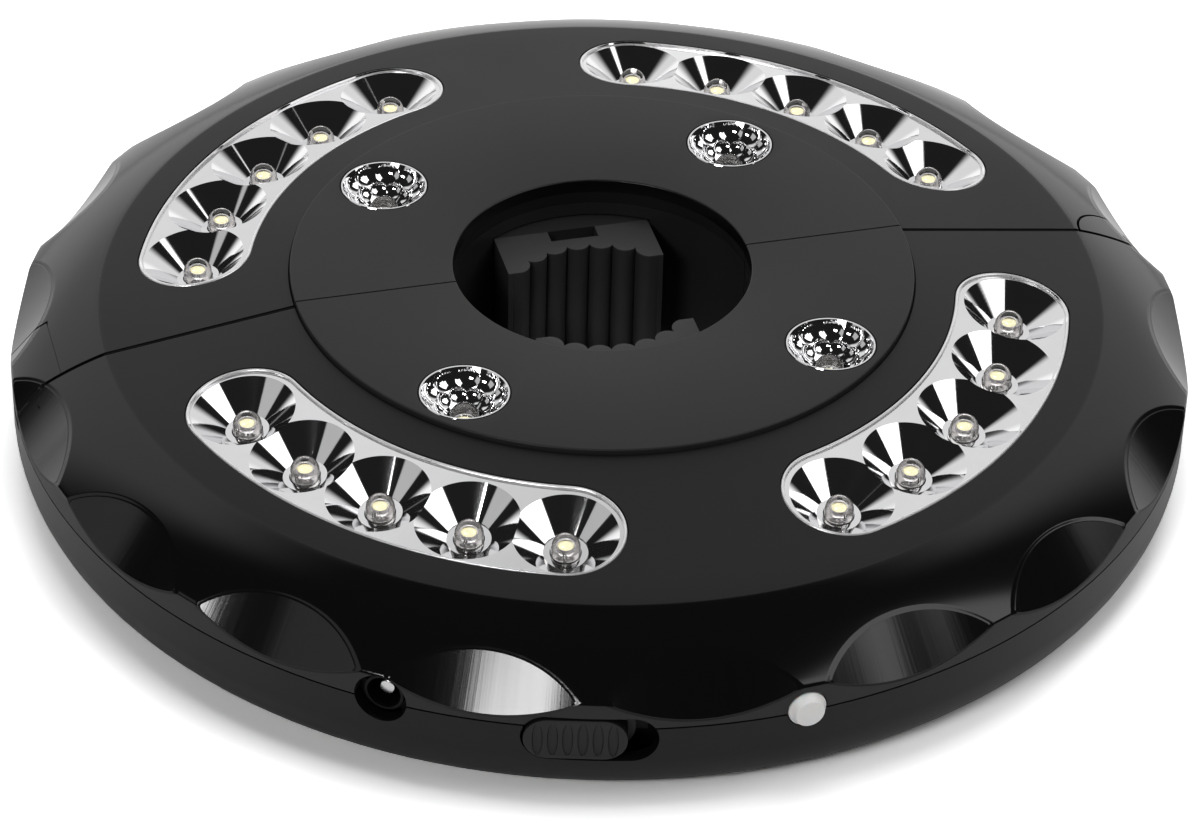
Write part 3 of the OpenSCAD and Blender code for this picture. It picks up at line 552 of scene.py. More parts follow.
def board_green():
    """Circuit board: solder mask over tracks."""
    f = Finish("solder_mask", IOR=1.5)
    lanes = f.noise(f.stretched(f.place(), (90, 500, 1)), 1.0, 0).rise(0.49, 0.51)
    crossing = f.noise(f.stretched(f.place(), (500, 90, 1)), 1.0, 0).rise(0.53, 0.55)
    tracks = (lanes + crossing).rise(0, 1)
    f.paint(Base_Color=f.blend(tracks, shade(0.008, 0.055, 0.02), shade(0.02, 0.12, 0.045)))
    f.paint(Roughness=0.35 - tracks * 0.08)
    return f.bumped(tracks, 0.3, 0.00004)


def cell_sleeve():
    """Shrink sleeve of a cell: plain grey with a darker band, bare metal at its ends."""
    f = Finish("cell_sleeve", IOR=1.5)
    x, _, _ = f.split(f.place())
    along = (x * x) ** 0.5 * 1000
    band = along.rise(60, 60.4) * (1 - along.rise(69, 69.4))
    crease = f.noise(f.stretched(f.place(), (20, 400, 400)), 1.0, 3)
    f.paint(Base_Color=f.blend(band, shade(0.20, 0.22, 0.25), shade(0.05, 0.055, 0.065)))
    f.paint(Roughness=0.28 + crease * 0.12)
    return f.bumped(crease, 0.15, 0.0001)


def rubber():
    """Soft black rubber with a fine matt skin, and a painted highlight that lightens the pad's
    upper face.
    """
    f = Finish("rubber", IOR=1.45)
    cloud = f.noise(f.place(), 160, 4)
    grain = f.noise(f.place(), 1800, 3, 0.7)
    _, z, _ = around(f)
    top = z.rise(26.3, 26.7)    # the pad's upper face, at JAW_TOP
    # Painted highlight: the pad's upper face is mixed towards the lighter grey.
    f.paint(Base_Color=f.blend(top * 0.7 + cloud * 0.3, shade(0.014), shade(0.042)))
    f.paint(Roughness=0.52 + cloud * 0.15)
    return f.bumped(grain, 0.3, 0.0001)


def button_white():
    """Off-white plastic of the push button."""
    f = Finish("button_white", IOR=1.5, Subsurface_Weight=0.15, Subsurface_Scale=0.001)
    cloud = f.noise(f.place(), 300, 3)
    f.paint(Base_Color=f.blend(cloud, shade(0.78, 0.78, 0.77), shade(0.86, 0.86, 0.85)))
    return f.paint(Roughness=0.28 + cloud * 0.12)


def silvered(name, metallic, scale, rough):
    """Pale silver lacquer, part paint and part metal."""
    f = Finish(name, IOR=1.5, Metallic=metallic)
    cloud = f.noise(f.place(), scale, 2)
    f.paint(Base_Color=f.blend(cloud, shade(0.80, 0.79, 0.80), shade(0.95, 0.94, 0.95)))
    f.paint(Roughness=rough + cloud * 0.15)
    return f.bumped(cloud, 0.25, 0.0002)


SHELL = moulded_shell()
SCALLOP = polished_scallop()
PLATE = satin_plate()
BASE = housing_base()
SWITCH = satin_black("switch_plastic", 0.005, 0.009, spec=0.35)
SOCKET = satin_black("socket_plastic", 0.002, 0.004, spec=0.15)
JAW = satin_black("jaw_plastic", 0.012, 0.020)
CHROME = metal("bright_chrome", (0.93, 0.93, 0.94), 0.03, 240.0, 0.02, 0.03)
STEEL = metal("plain_steel", (0.62, 0.62, 0.63), 0.22, 300.0, 0.1, 0.15)
SPRING = metal("spring_steel", (0.50, 0.50, 0.52), 0.25, 400.0, 0.1, 0.15)
LEAD = metal("tinned_lead", (0.75, 0.75, 0.76), 0.2, 900.0, 0.05, 0.1)
EPOXY = clear_epoxy()
PHOSPHOR = phosphor()
BOARD = board_green()
SLEEVE = cell_sleeve()
RUBBER = rubber()
BUTTON = button_white()
SEAT = silvered("lamp_seat", 0.75, 900.0, 0.12)
LIP_SILVER = silvered("lip_silver", 0.55, 260.0, 0.22)

BY_SLOT = {
    "housing": BASE, "satin_plate": PLATE, "circuit_board": BOARD, "reflector": CHROME,
    "lamp_epoxy": EPOXY, "cell_sleeve": SLEEVE, "steel": STEEL, "spring_steel": SPRING,
    "switch_plastic": SWITCH, "socket_plastic": SOCKET, "button_plastic": BUTTON,
    "jaw_plastic": JAW, "pad_rubber": RUBBER,
}
for part in frame["record"]["subparts"]:
    for place in nodes[part["node"]].material_slots:
        place.material = BY_SLOT[part["material_slot"]]
for place in nodes["slide_switch"].material_slots:
    place.material = SWITCH

# Each pair of jaw springs gets a mesh of its own.
for side, far in (("front", 0), ("rear", 1)):
    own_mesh(nodes[side + "_jaw_springs"])


# ---- Covers ----
def face_point(r, sunk=0):
    return r, tilt_z(r) - sunk


def shoulder_points(first, last, sunk=0, steps=18):
    """Points along the shoulder's arc, after the first, by their lean from the vertical."""
    return [(ARC_X + (ARC - sunk) * sin(radians(a)), ARC_Z + (ARC - sunk) * cos(radians(a)))
            for a in (first + (last - first) * i / steps for i in range(1, steps + 1))]


def shell_profile():
    """Outline of the outer face from the plate's seat out to the foot of the upright rim."""
    points = [(PLATE_R + 0.1, LEDGE), face_point(PLATE_R + 0.1, 0.18), face_point(PLATE_R + 0.28)]
    points += [face_point(PLATE_R + (FACE_R - PLATE_R) * i / 6) for i in (1, 2, 3, 4, 5)]
    points += [face_point(FACE_R - 0.15), (FACE_R + 0.12, shoulder_z(FACE_R + 0.12))]
    edge = BODY_R - CORNER_ROUND
    edge_z = shoulder_z(edge, ARC - CORNER_ROUND)
    lean = degrees(atan2(edge_z - ARC_Z, edge - ARC_X))
    first = degrees(asin((FACE_R + 0.12 - ARC_X) / ARC))
    points += shoulder_points(first, 90 - lean)
    points += arc(edge, edge_z, CORNER_ROUND, lean, 0, 8)[1:]
    points += [(BODY_R, COVER_FOOT + 0.12), (BODY_R - 0.12, COVER_FOOT)]
    return points


OUTER = shell_profile()
INNER_R = BODY_R - 5.8
INNER = [(RIM_IN, COVER_FOOT), (RIM_IN, CORNER_H - 2.6), (INNER_R, shoulder_z(INNER_R) - WALL),
         face_point(FACE_R, WALL + 0.3), face_point(PLATE_R + 6, WALL),
         (PLATE_R, LEDGE_LOW), (HOLE_R, LEDGE_LOW), (HOLE_R, LEDGE)]


def scallop_turn(k):
    return SCALLOP_TURN + SCALLOP_PITCH * k


def scallop(k):
    """Leant cylinder that hollows scallop k out of the rim's corner."""
    lean = radians(SCALLOP_TILT)
    corner = shift(x=BODY_R - SCALLOP_DEPTH * cos(lean), z=CORNER_H - SCALLOP_DEPTH * sin(lean))
    return rod(SCALLOP_R, -30, 30, 720, 1).moved(
        turn(scallop_turn(k)) @ corner @ turn(-SCALLOP_TILT, "Y") @ shift(x=SCALLOP_R))


def tray_outline(grow, steps=40):
    """Outline of a bent slot on the +X side."""
    span = (LAMPS - 1) / 2 * PITCH
    wide = TRAY_HALF + grow
    x, y = LAMP_RING * cos(radians(span)), LAMP_RING * sin(radians(span))
    return (arc(0, 0, LAMP_RING + wide, -span, span, steps)
            + arc(x, y, wide, span, span + 180, 32)[1:-1]
            + arc(0, 0, LAMP_RING - wide, span, -span, steps)
            + arc(x, -y, wide, -span - 180, -span, 32)[1:-1])


def half_space(rear):
    """Everything on one half's side of the split."""
    low, high = (SPLIT / 2, BEYOND) if rear else (-BEYOND, -SPLIT / 2)
    return block((-BEYOND, low, -5), (BEYOND, high, ABOVE))


def knuckle(r, low, high):
    return rod(r, low, high, 128).moved(shift(x=HINGE_X))


def swing_relief():
    """Wedge that clears the front half's knuckle as the rear half swings."""
    tool = prism(arc(0, 0, KNUCKLE_R + 2, 0, 62, 24) + [(0, 0)], -1, 40)
    return tool.cut(rod(KNUCKLE_R, -2, 41, 128)).moved(shift(x=HINGE_X))


def jack_mouth():
    return rim_rod(JACK_MOUTH_R, RIM_IN - 0.4, RIM_IN + 12, JACK_TURN)


def rim_ports():
    """Cutting tools for the switch's slot and room, the charging hole and the button's hole."""
    port = on_rim(pill(SLOT_L, SLOT_H, 20, RIM_IN - 8), SWITCH_TURN, SWITCH_Z)
    room = on_rim(block((RIM_IN - 9, -SLOT_L / 2 - 2.4, -SLOT_H / 2 - 1.4),
                        (RIM_IN - 1, SLOT_L / 2 + 2.4, SLOT_H / 2 + 1.4)), SWITCH_TURN, SWITCH_Z)
    jack = rim_rod(JACK_R, RIM_IN - 8, RIM_IN + 12, JACK_TURN).add(jack_mouth())
    button = rim_rod(BUTTON_R + GAP, RIM_IN - 8, RIM_IN + 12, BUTTON_TURN)
    return port, room, jack, button


def latch_room():
    """Room for the latch tongue in the shell, and for its swing under it."""
    inside = BODY_R - TONGUE_IN
    axis_z = shoulder_z(inside) - 0.3
    reach = SPLIT / 2 + TONGUE_W + GAP + 0.2
    return (block((-BODY_R - 2, -0.01, axis_z - 0.5), (0.06 - inside, reach, axis_z + 9.5)),
            block((-BODY_R - 2, -0.01, SEAM_H - 1.2), (1.4 - inside, reach, axis_z - 0.3)))


def bore(form, low, high, x, y, r, sides=64):
    return form.cut(rod(r, low, high, sides).moved(shift(x, y)))


def split_groove():
    """Shallow step along the upper edge of the split, cut before the scallops."""
    sunk = SPLIT_STEP
    lean = degrees(asin((BODY_R - CORNER_ROUND - ARC_X) / (ARC - sunk)))
    outline = [(PLATE_R + 0.05, tilt_z(PLATE_R) - sunk), face_point(FACE_R, sunk)]
    outline += shoulder_points(SHOULDER_TILT, lean, sunk)
    outline += [(BODY_R - sunk, CORNER_H - 1.4), (BODY_R - sunk, SEAM_H - 1),
                (BODY_R + 5, SEAM_H - 1), (BODY_R + 5, ABOVE), (PLATE_R + 0.05, ABOVE)]
    along = block((-BEYOND, -SPLIT_STEP_HALF, -5), (BEYOND, SPLIT_STEP_HALF, 70))
    return lathe(outline, 360).keep(along)


RING = lathe(OUTER + INNER)
SOLID = lathe([(0, LEDGE)] + OUTER + [(0, COVER_FOOT)])


def split_wall(side):
    """Upright wall that closes a cover along the split, open for the pole."""
    near, far = side * SPLIT / 2, side * (WALL + SPLIT / 2)
    wall = SOLID.copy().keep(block((-BEYOND, min(near, far), SEAM_H - 1),
                                   (BEYOND, max(near, far), ABOVE)))
    return wall.cut(rod(HOLE_R + WALL + GAP, -1, LEDGE_LOW, 180), rod(HOLE_R, 0, ABOVE, 180))


def cover(rear):
    """A half's cover: shell, split wall, screw bosses, openings and scallops."""
    side = 1 if rear else -1
    bosses = [turn(a + (180 if rear else 0)) @ shift(x=BOSS_RING) for a in SCREW_TURNS]
    boss_z = SEAM_H / 2
    half = RING.copy().keep(half_space(rear)).add(split_wall(side))
    for at in bosses:
        half.add(rod(BOSS_R, boss_z, shoulder_z(BOSS_RING + BOSS_R) - 0.3, 48).moved(at))
    if not rear:
        half.add(SOLID.copy().keep(knuckle(KNUCKLE_R, COVER_FOOT, BODY_H)))
        half.add(SOLID.copy().keep(block((-RIM_IN - 0.5, -WALL - 3, COVER_FOOT),
                                         (CATCH_X, -WALL - 1, COVER_FOOT + 5.4))))
    for a in ((45, 135) if rear else (-45, -135)):
        half.cut(prism(tray_outline(SLIP), SEAM_H, ABOVE).moved(turn(a)))
    for x in (-SPOT_AT, SPOT_AT):
        bore(half, SEAM_H, ABOVE, x, side * SPOT_AT, SPOT_R + SLIP)
        bore(half, LEDGE - 1, ABOVE, x, side * SPOT_AT, SPOT_R + 1.6)
    half.cut(split_groove())
    for k in range(SCALLOPS):
        if side * sin(radians(scallop_turn(k))) > -0.25:    # those that reach into this half
            half.cut(scallop(k))
    for at in bosses:
        half.cut(rod(BOSS_BORE, boss_z - 1, boss_z + 12, 32).moved(at))
    if rear:
        half.cut(knuckle(KNUCKLE_R + GAP + 0.15, SEAM_H - 1, ABOVE), swing_relief(), *latch_room())
    else:
        half.cut(*rim_ports(), knuckle(2.05, SEAM_H - 1, 23))
        # The window for the latch's arm, and the room for its hook behind the catch.
        half.cut(block((CATCH_X - 1.4, -WALL - 1, SEAM_H + 1), (CATCH_X + 4.8, 1, SEAM_H + 5.8)))
        half.cut(block((CATCH_X - 1, -WALL - 6, SEAM_H + 1.7),
                       (CATCH_X + 3.9, -WALL - 3, SEAM_H + 5.1)))
    return half


def latch():
    """The latch tongue: a piece of the shell with a hooked arm under it."""
    tongue = RING.copy().keep(block((-BODY_R - 1, SPLIT / 2, SEAM_H + 0.6),
                                    (-BODY_R + TONGUE_IN, SPLIT / 2 + TONGUE_W, ABOVE)))
    tongue.cut(split_groove())
    for k in (8, 9):
        tongue.cut(scallop(k))
    arm_y, arm_x, top = WALL + 3 + GAP, CATCH_X + GAP + ARM_T, ARM_Z + ARM_H
    tongue.add(block((-RIM_IN - 0.3, 3, ARM_Z), (arm_x, 8, top)))
    tongue.add(block((CATCH_X + GAP, -arm_y - 2, ARM_Z), (arm_x, 5, top)))
    tongue.add(block((CATCH_X - HOOK, -arm_y - 2, ARM_Z), (arm_x, -arm_y, top)))
    return tongue


SHELLS = [SHELL, SCALLOP, SHELL]
finished(cover(False), "front_shell", "front_half", SHELLS, ["front_cover"])
finished(cover(True), "rear_shell", "rear_half", SHELLS, ["rear_cover"])
finished(latch(), "latch", "latch_tongue", SHELLS, ["latch_tongue"])


def front_base():
    """The front base as it is in the CAD, with the charging hole's mouth opened to the cover's."""
    bm = bmesh.new()
    bm.from_mesh(nodes["front_base"].data)
    bmesh.ops.scale(bm, verts=bm.verts[:], vec=(1000, 1000, 1000))
    bmesh.ops.remove_doubles(bm, verts=bm.verts[:], dist=2e-3)
    return Form(bm).cut(jack_mouth())


finished(front_base(), "lower_shell", "front_half", [BASE], ["front_base"], 20)


# ---- Centre plates ----
def centre_plate(rear):
    """Half a raised ring with rounded edges and holes for its spot reflectors."""
    profile = ([(HOLE_R, LEDGE), (HOLE_R, BODY_H - 0.35)]
               + arc(HOLE_R + 0.35, BODY_H - 0.35, 0.35, 180, 90, 5)[1:]
               + arc(PLATE_R - 0.3, BODY_H - 0.3, 0.3, 90, 0, 5) + [(PLATE_R, LEDGE)])
    plate = lathe(profile).keep(half_space(rear))
    for x in (-SPOT_AT, SPOT_AT):
        bore(plate, 0, ABOVE, x, SPOT_AT if rear else -SPOT_AT, SPOT_R + SLIP, 128)
    return plate


for name, rear in (("front", False), ("rear", True)):
    finished(centre_plate(rear), name + "_plate", name + "_half", [PLATE], [name + "_centre_plate"],
             25)


# ---- Trays ----
def lamp_turn(i, tray_at=0):
    """Turn of lamp i of a tray whose middle is at that angle."""
    return turn(tray_at + (i - (LAMPS - 1) / 2) * PITCH)


def cup_place(i):
    """Where cup i's mouth is, with +Z square to the lamp face."""
    r = LAMP_RING + CUP_LEAN
    return lamp_turn(i) @ shift(x=r, z=tilt_z(r) - SINK) @ turn(SLOPE, "Y")


def under_face(sink, thick):
    """Solid of revolution below the lamp face, sunk and of that thickness."""
    low, high = tilt_z(0) - sink, tilt_z(120) - sink
    return lathe([(0, low - thick), (120, high - thick), (120, high), (0, low)], 360)


def tray_rim():
    """Wall round a tray whose top is rounded over and follows the lamp face."""
    bm = bmesh.new()
    loops = []
    for grow, drop in ((0, 2.6), (0, 0.32), (-0.05, 0.16), (-0.15, 0.05), (-0.3, 0), (-0.45, 0.05),
                       (-0.55, 0.16), (-LIP, SINK + 0.2), (-LIP, 2.6)):
        points = [bm.verts.new((x, y, tilt_z(hypot(x, y)) - drop)) for x, y in tray_outline(grow)]
        loops.append([bm.edges.new(pair) for pair in zip(points, points[1:] + points[:1])])
    for pair in zip(loops, loops[1:] + loops[:1]):
        bmesh.ops.bridge_loops(bm, edges=pair[0] + pair[1])
    return Form(bm, 2)


def tray():
    """A tray of overlapping conical cups in a sunk deck, inside its rim."""
    deck = prism(tray_outline(-LIP / 2), BOARD_Z, ABOVE).keep(under_face(SINK, SKIN))
    rim = tray_rim().add(deck)
    grow = (CUP_R - CUP_FLOOR_R) / CUP_DEPTH
    for i in range(LAMPS):
        cup = rod(CUP_FLOOR_R + 0.8, -CUP_DEPTH - SKIN, SKIN / -2, 128, 0, CUP_R)
        rim.add(cup.moved(cup_place(i)))
    for i in range(LAMPS):
        hollow = rod(CUP_FLOOR_R, -CUP_DEPTH, 2, 192, 1, CUP_R + 2 * grow)
        hole = rod(LAMP_R + SLIP, BOARD_Z - 3, BOARD_Z + 4, 96, 1)
        rim.cut(hollow.moved(cup_place(i)), hole.moved(lamp_turn(i) @ shift(x=LAMP_AT)))
    return rim


TRAY = tray()
TRAYS = {"front_left": -135, "front_right": -45, "rear_left": 135, "rear_right": 45}
for name, angle in TRAYS.items():
    finished(TRAY.copy().moved(turn(angle)), name + "_tray", name.split("_")[0] + "_half",
             [CHROME, CHROME, LIP_SILVER], [name + "_reflector"], 25)


# ---- Lamps ----
def lamp_dome(top):
    """Clear case of a lamp: collar, barrel and dome."""
    outline = [(0, BOARD_Z), (LAMP_R + 0.38, BOARD_Z), (LAMP_R + 0.38, BOARD_Z + 0.26),
               (LAMP_R, BOARD_Z + 0.3)]
    outline += [(LAMP_R, top - LAMP_R)] + arc(0, top - LAMP_R, LAMP_R, 0, 90, 16)[1:]
    outline[-1] = (0, top)
    return spun(outline, 64)


def lamp_chip(z):
    """Phosphor that fills the chip's little cup."""
    return spun([(0, z - 0.3), (0.55, z - 0.3), (0.78, z), (0.55, z + 0.12), (0, z + 0.18)], 24)


def lamp_leads(z):
    """Post with the chip's cup, the second post beside it, and the pale foot that both stand in."""
    foot = z - 1.25
    cup = spun([(0, BOARD_Z + 0.2), (0.5, BOARD_Z + 0.2), (0.5, z - 1.1), (0.9, z - 0.6),
                (1.05, z + 0.1), (0.9, z + 0.1), (0.62, z - 0.32), (0, z - 0.32)], 24)
    bmesh.ops.create_cone(cup, cap_ends=True, segments=12, radius1=0.32, radius2=0.25,
                          depth=z - 0.2 - BOARD_Z, matrix=shift(x=1.45, z=(z + BOARD_Z) / 2 + 0.1))
    seat = spun([(0.5, foot - 0.35), (2.2, foot - 0.35), (2.25, foot - 0.1), (1.9, foot),
                 (0.5, foot + 0.06)], 48)
    for face in seat.faces:
        face.material_index = 1
    absorb(cup, seat)
    return cup


def spread(maker, places):
    """One bmesh with a copy of the maker's form at each place."""
    whole = bmesh.new()
    for matrix in places:
        part = maker()
        bmesh.ops.transform(part, matrix=matrix, verts=part.verts[:])
        absorb(whole, part)
    bmesh.ops.recalc_face_normals(whole, faces=whole.faces[:])
    return whole


def lamps(name, body, node, places, top=LAMP_TOP, chip_drop=2.3):
    """A group of lamps as three pieces: domes, chips, and leads with their feet."""
    chip_z = top - chip_drop
    for kind, maker, finishes, replaced, slot, sharp in (
            ("domes", lambda: lamp_dome(top), [EPOXY], [node], "lamp_epoxy", 35),
            ("chips", lambda: lamp_chip(chip_z), [PHOSPHOR], (), "lamp_epoxy", 40),
            ("leads", lambda: lamp_leads(chip_z), [LEAD, SEAT], (), "steel", 30)):
        finished(spread(maker, places), name + "_" + kind, body, finishes, replaced, sharp)


for name, angle in TRAYS.items():
    lamps(name, name.split("_")[0] + "_half", name + "_lamps",
          [lamp_turn(i, angle) @ shift(x=LAMP_AT) for i in range(LAMPS)])
for name, y in (("front", -SPOT_AT), ("rear", SPOT_AT)):
    lamps(name + "_spot", name + "_half", name + "_spot_lamps",
          [shift(x, y) for x in (-SPOT_AT, SPOT_AT)], SPOT_TOP, 3.0)


# ---- Spot reflectors: bowls with two rows of dimples ----
def spot_bowl():
    """A bowl with a collar, whose lamp side is broken up by round dimples."""
    low, floor_z, mouth = BOARD_Z + 0.6, BODY_H - 4.9, SPOT_R - 0.4

    def wall_r(share):
        """Radius of the bowl at a share of its height."""
        return 3 + (mouth - 3) * share ** 0.85

    def wall_z(share):
        return floor_z + 0.1 + (BODY_H - floor_z - 0.1) * share

    bowl = [(LAMP_R + 0.5, floor_z), (3, floor_z + 0.1)]
    bowl += [(wall_r(i / 8), wall_z(i / 8)) for i in range(1, 9)]
    body = lathe([(LAMP_R + 0.5, low), (SPOT_R, low), (SPOT_R, BODY_H - 0.15),
                  (SPOT_R - 0.12, BODY_H + 0.02), (SPOT_R - 0.28, BODY_H + 0.02)] + bowl[::-1], 120)
    body.add(lathe([(SPOT_R - 0.5, LEDGE - 0.95), (SPOT_R + 1.3, LEDGE - 0.95),
                    (SPOT_R + 1.3, LEDGE - 0.05), (SPOT_R - 0.5, LEDGE - 0.05)], 120))
    # Each row by its share of the height, and its balls' radius and depth.
    for row, (share, size, depth) in enumerate(((0.26, 2.6, 0.34), (0.70, 3.6, 0.42))):
        r, ahead = wall_r(share), wall_r(share + 0.02)
        lean = atan2((BODY_H - floor_z) * 0.02, ahead - r)
        off = size - depth
        middle = shift(r - off * sin(lean), 0, wall_z(share) + off * cos(lean))
        for i in range(DIMPLES):
            ball = bmesh.new()
            bmesh.ops.create_uvsphere(ball, u_segments=32, v_segments=20, radius=size)
            body.cut(Form(ball, 1).moved(turn((i + row / 2) * 360 / DIMPLES + 12) @ middle))
    return body


BOWL = spot_bowl()
for name, y in (("front", -SPOT_AT), ("rear", SPOT_AT)):
    pair = BOWL.copy().moved(shift(-SPOT_AT, y)).add(BOWL.copy().moved(shift(SPOT_AT, y)))
    finished(pair, name + "_spot_bowls", name + "_half", [CHROME] * 3, [name + "_spot_reflectors"],
             14)


# ---- Jaw pads ----
def jaw_pad(rear):
    """Rubber pad with five round ribs between two end lobes, and the pocket in its top."""
    half_w, back, low = JAW_W / 2, HOLE_R - 3.8, 3.8
    near = 0 if rear else FRONT_PAD_NEAR
    front = 10.4 - near
    pad = block((-half_w, front, low), (half_w, back, JAW_TOP))
    pad.cut(rod(GRIP_R + 1.6, 0, ABOVE, 240).moved(shift(y=-near)))
    for at, r in [(14 * i, 2.2) for i in range(-2, 3)] + [(-43, 2.5), (43, 2.5)]:
        rib = rod(r, low, JAW_TOP, 64)
        pad.add(rib.moved(shift(y=-near) @ turn(at) @ shift(y=GRIP_R + r)))
    pad.keep(block((-half_w, front, low), (half_w, back, JAW_TOP)))
    pad.cut(block((-4.2, back - 3, JAW_TOP - 2), (4.2, back + 1, JAW_TOP + 1)))
    pad.cut(block((-5.15, back - 2.55, low - 0.6), (5.15, back + 1.4, JAW_TOP - 4)))
    return pad if rear else pad.moved(turn(180))


def pad_top(edge):
    """The edges round the pad's upper face."""
    return (all(v.co.z > JAW_TOP - 0.01 for v in edge.verts)
            and edge.calc_face_angle(0) > radians(40))


for name, rear in (("front", False), ("rear", True)):
    finished(jaw_pad(rear), name + "_pad", name + "_jaw", [RUBBER], [name + "_jaw_pad"],
             35, ease=((pad_top, 0.3),))


# ---- Controls ----
def push_button():
    """Button with a collar that holds it in, a rounded edge and a slightly raised face."""
    top = BODY_R + 1.5 - 0.1
    outline = [(0, RIM_IN - 5), (BUTTON_R + 1, RIM_IN - 5), (BUTTON_R + 1, RIM_IN - 3.6),
               (BUTTON_R + 0.1, RIM_IN - 3.6), (BUTTON_R + 0.1, top - 1.5)]
    outline += arc(BUTTON_R - 0.3, top - 1.5, 0.4, 0, 60, 5)[1:]
    outline += [(BUTTON_R - 0.52, top - 0.35)] + arc(BUTTON_R - 0.85, top - 0.3, 0.3, 10, 80, 5)
    outline += [(BUTTON_R - 1.6, top + 0.04), (0, top + 0.1)]
    return on_rim(lathe(outline, 96).moved(turn(90, "Y")), BUTTON_TURN, PORT_Z)


def switch_slider():
    """Slider with its flange, the stub that moves the switch, and grooves for the finger."""
    at = -(SLOT_L - SLIDER_L) / 2 + 0.45
    knob = pill(SLIDER_L, SLOT_H - 0.8, WALL + 1.6, RIM_IN - 1.5)
    knob.add(pill(SLIDER_L + 2.4, SLOT_H + 1.6, 1.2, RIM_IN - 2.5))
    knob.add(block((RIM_IN - 4.4, -1.2, -0.4), (RIM_IN - 1.4, 1.2, 1.0)))
    for i in range(6):
        ball = bmesh.new()
        bmesh.ops.create_uvsphere(ball, u_segments=48, v_segments=32, radius=1)
        bmesh.ops.scale(ball, verts=ball.verts[:], vec=(0.5, 0.85, 3.2))
        knob.cut(Form(ball).moved(shift(x=SLIDER_FACE, y=(i - 2.5) * 2.35)))
    return on_rim(knob.moved(shift(y=at)), SWITCH_TURN, SWITCH_Z)


def slot_shade_screen():
    """Black sheet put behind the slider as painted shade, closing the view past it into the
    housing.
    """
    screen = prism(arc(8.5, 0, 5.2, -90, 90, 16) + [(4, 5.2), (4, -5.2)], 0, 0.5)
    return on_rim(screen.moved(shift(x=RIM_IN - 3.9) @ OUTWARD), SWITCH_TURN, SWITCH_Z)


def slider_rim(edge):
    """The outline of the slider's face."""
    flat = [turn(-SWITCH_TURN) @ v.co for v in edge.verts]
    return (all(abs(v.x - SLIDER_FACE) < 0.01 for v in flat)
            and edge.calc_face_angle(0) > radians(50))


def jack_pin():
    """Blunt pin in the middle of the charging hole."""
    outline = [(0, RIM_IN - 10.6), (1.35, RIM_IN - 10.6), (1.35, RIM_IN - 0.9)]
    outline += arc(1, RIM_IN - 0.9, 0.35, 0, 80, 5)[1:] + [(0, RIM_IN - 0.5)]
    return on_rim(lathe(outline, 48).moved(turn(90, "Y")), JACK_TURN, PORT_Z)


finished(jack_pin(), "jack_pin", "front_half", [LEAD], ["dc_socket_pin"], 30)
# A black sheet that stands in for the shade inside the housing.
finished(slot_shade_screen(), "slot_shade_screen", "front_half", [SOCKET], (), 30)
finished(push_button(), "push_button", "mode_button", [BUTTON], ["mode_button"],
         30)
finished(switch_slider(), "slider", "switch_slider", [SWITCH], ["switch_slider"],
         25, ease=((slider_rim, 0.45),))


# ---- Studio ----
def floor():
    """White ground that the camera sees brighter than the light which it throws back."""
    bm = bmesh.new()
    bmesh.ops.create_grid(bm, x_segments=2, y_segments=2, size=6)
    bmesh.ops.translate(bm, verts=bm.verts[:], vec=(0, 0, -0.0001))
    mesh = bpy.data.meshes.new("floor")
    bm.to_mesh(mesh)
    bm.free()
    piece = bpy.data.objects.new("floor", mesh)
    bpy.context.scene.collection.objects.link(piece)
    f = Tree(bpy.data.materials.new("floor_white"))
    mesh.materials.append(bpy.data.materials["floor_white"])
    f.tree.nodes.clear()
    mottle = f.noise(f.place(), 3, 2)
    white = f.blend(mottle, shade(0.86), shade(0.88))
    matt = f.node("ShaderNodeBsdfDiffuse", inputs={"Color": white})
    bright = f.node("ShaderNodeBsdfDiffuse", inputs={"Color": shade(1.9)})
    seen = f.node("ShaderNodeLightPath")
    chosen = f.node("ShaderNodeMixShader", inputs=(seen, matt, bright))
    f.node("ShaderNodeOutputMaterial", inputs=(chosen,))


def area_light(name, at, aim, size, power):
    """A lamp that lights the floor and the pieces but has no reflection."""
    light = bpy.data.lights.new(name, "AREA")
    light.shape = "RECTANGLE"
    light.size, light.size_y = size
    light.energy = power
    lamp = bpy.data.objects.new(name, light)
    lamp.location = at
    lamp.rotation_euler = (Vector(aim) - Vector(at)).to_track_quat("-Z", "Y").to_euler()
    lamp.visible_glossy = False
    bpy.context.scene.collection.objects.link(lamp)


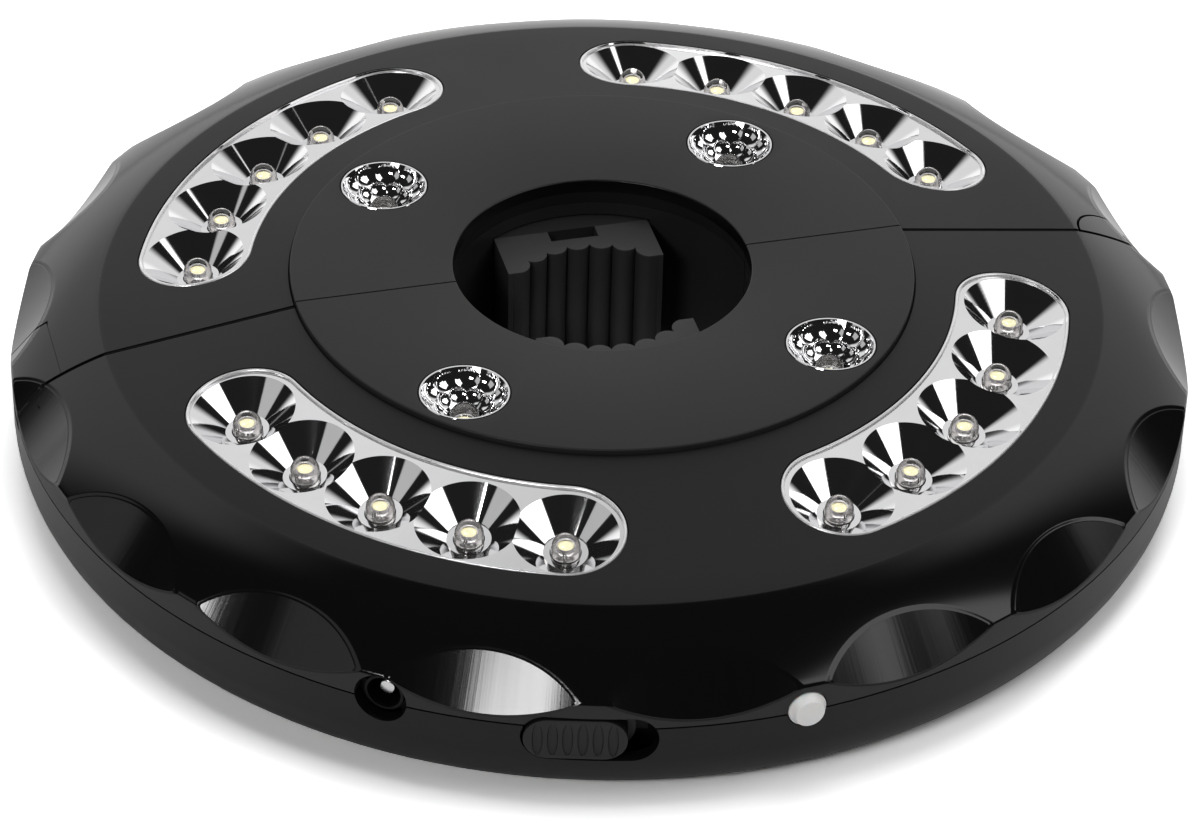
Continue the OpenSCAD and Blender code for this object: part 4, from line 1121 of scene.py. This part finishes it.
def world():
    """Dark room with bright panels, seen by the pieces; the camera sees plain white."""
    bpy.context.scene.world = bpy.data.worlds.new("studio")
    w = Tree(bpy.context.scene.world)
    w.tree.nodes.clear()
    x, y, z = w.split(w.node("ShaderNodeTexCoord", output=0))
    height = w.maths("ARCSINE", z) * degrees(1)

    def panel(middle, half, low, high, soft=2.0):
        """One panel by the azimuth of its middle, its half width and its heights, in degrees."""
        c, s = cos(radians(middle)), sin(radians(middle))
        off = w.maths("ARCTAN2", y * c - x * s, x * c + y * s) * degrees(1)
        aside = w.maths("ABSOLUTE", off)
        return ((1 - aside.rise(half - soft, half + soft)) * height.rise(low - soft, low + soft)
                * (1 - height.rise(high - soft, high + soft)))

    # The white panel's lower edge steps down near its left end and falls away towards its right.
    turned = w.maths("ARCTAN2", y, x) * degrees(1) + 29
    edge = (35 - (turned.rise(-14, -11) - turned.rise(11, 15)) * 7.4
            - w.maths("MAXIMUM", turned, 0.0) * 0.4)
    white = panel(-30, 26, 14, 62) * (height - edge).rise(-2, 2)
    wall, foot = panel(78, 56, -5, 58, 8), panel(80, 58, -5, 15, 6)
    grey = panel(178, 17, 14, 40)
    strip = panel(-135, 11, 33, 40.6, 0.6)
    level = 0.012 + white * 2.0 + wall * 0.74 + foot * 0.3 + grey * 0.46 + strip * 20
    seen = w.node("ShaderNodeLightPath")
    plain = w.node("ShaderNodeBackground", inputs={"Color": shade(1), "Strength": 1.0})
    room = w.node("ShaderNodeBackground", inputs={"Color": shade(1), "Strength": level})
    chosen = w.node("ShaderNodeMixShader", inputs=(seen, room, plain))
    w.node("ShaderNodeOutputWorld", inputs=(chosen,))


def camera():
    """The view that was fitted to the photograph, in metres and millimetres of lens."""
    lens = bpy.data.cameras.new("camera")
    lens.lens = 137.616
    lens.sensor_width = 36
    lens.sensor_fit = "HORIZONTAL"
    lens.clip_end = 50
    eye = bpy.data.objects.new("camera", lens)
    right = Vector((0.96871326, -0.24720051, 0.02205735))
    up = Vector((0.12944104, 0.57906855, 0.80493766))
    back = -Vector((0.21175372, 0.77689865, -0.59294927))
    axes = Matrix((right, up, back)).transposed().to_4x4()
    eye.matrix_world = shift(-0.16762603, -0.61611620, 0.47288058) @ axes
    bpy.context.scene.collection.objects.link(eye)
    bpy.context.scene.camera = eye


floor()
world()
area_light("overhead", (0.1, 0.2, 1.6), (0, 0, 0), (1.0, 1.0), 13)
camera()
bpy.context.scene.view_settings.view_transform = "Standard"

bpy.data.scenes.remove(BENCH)
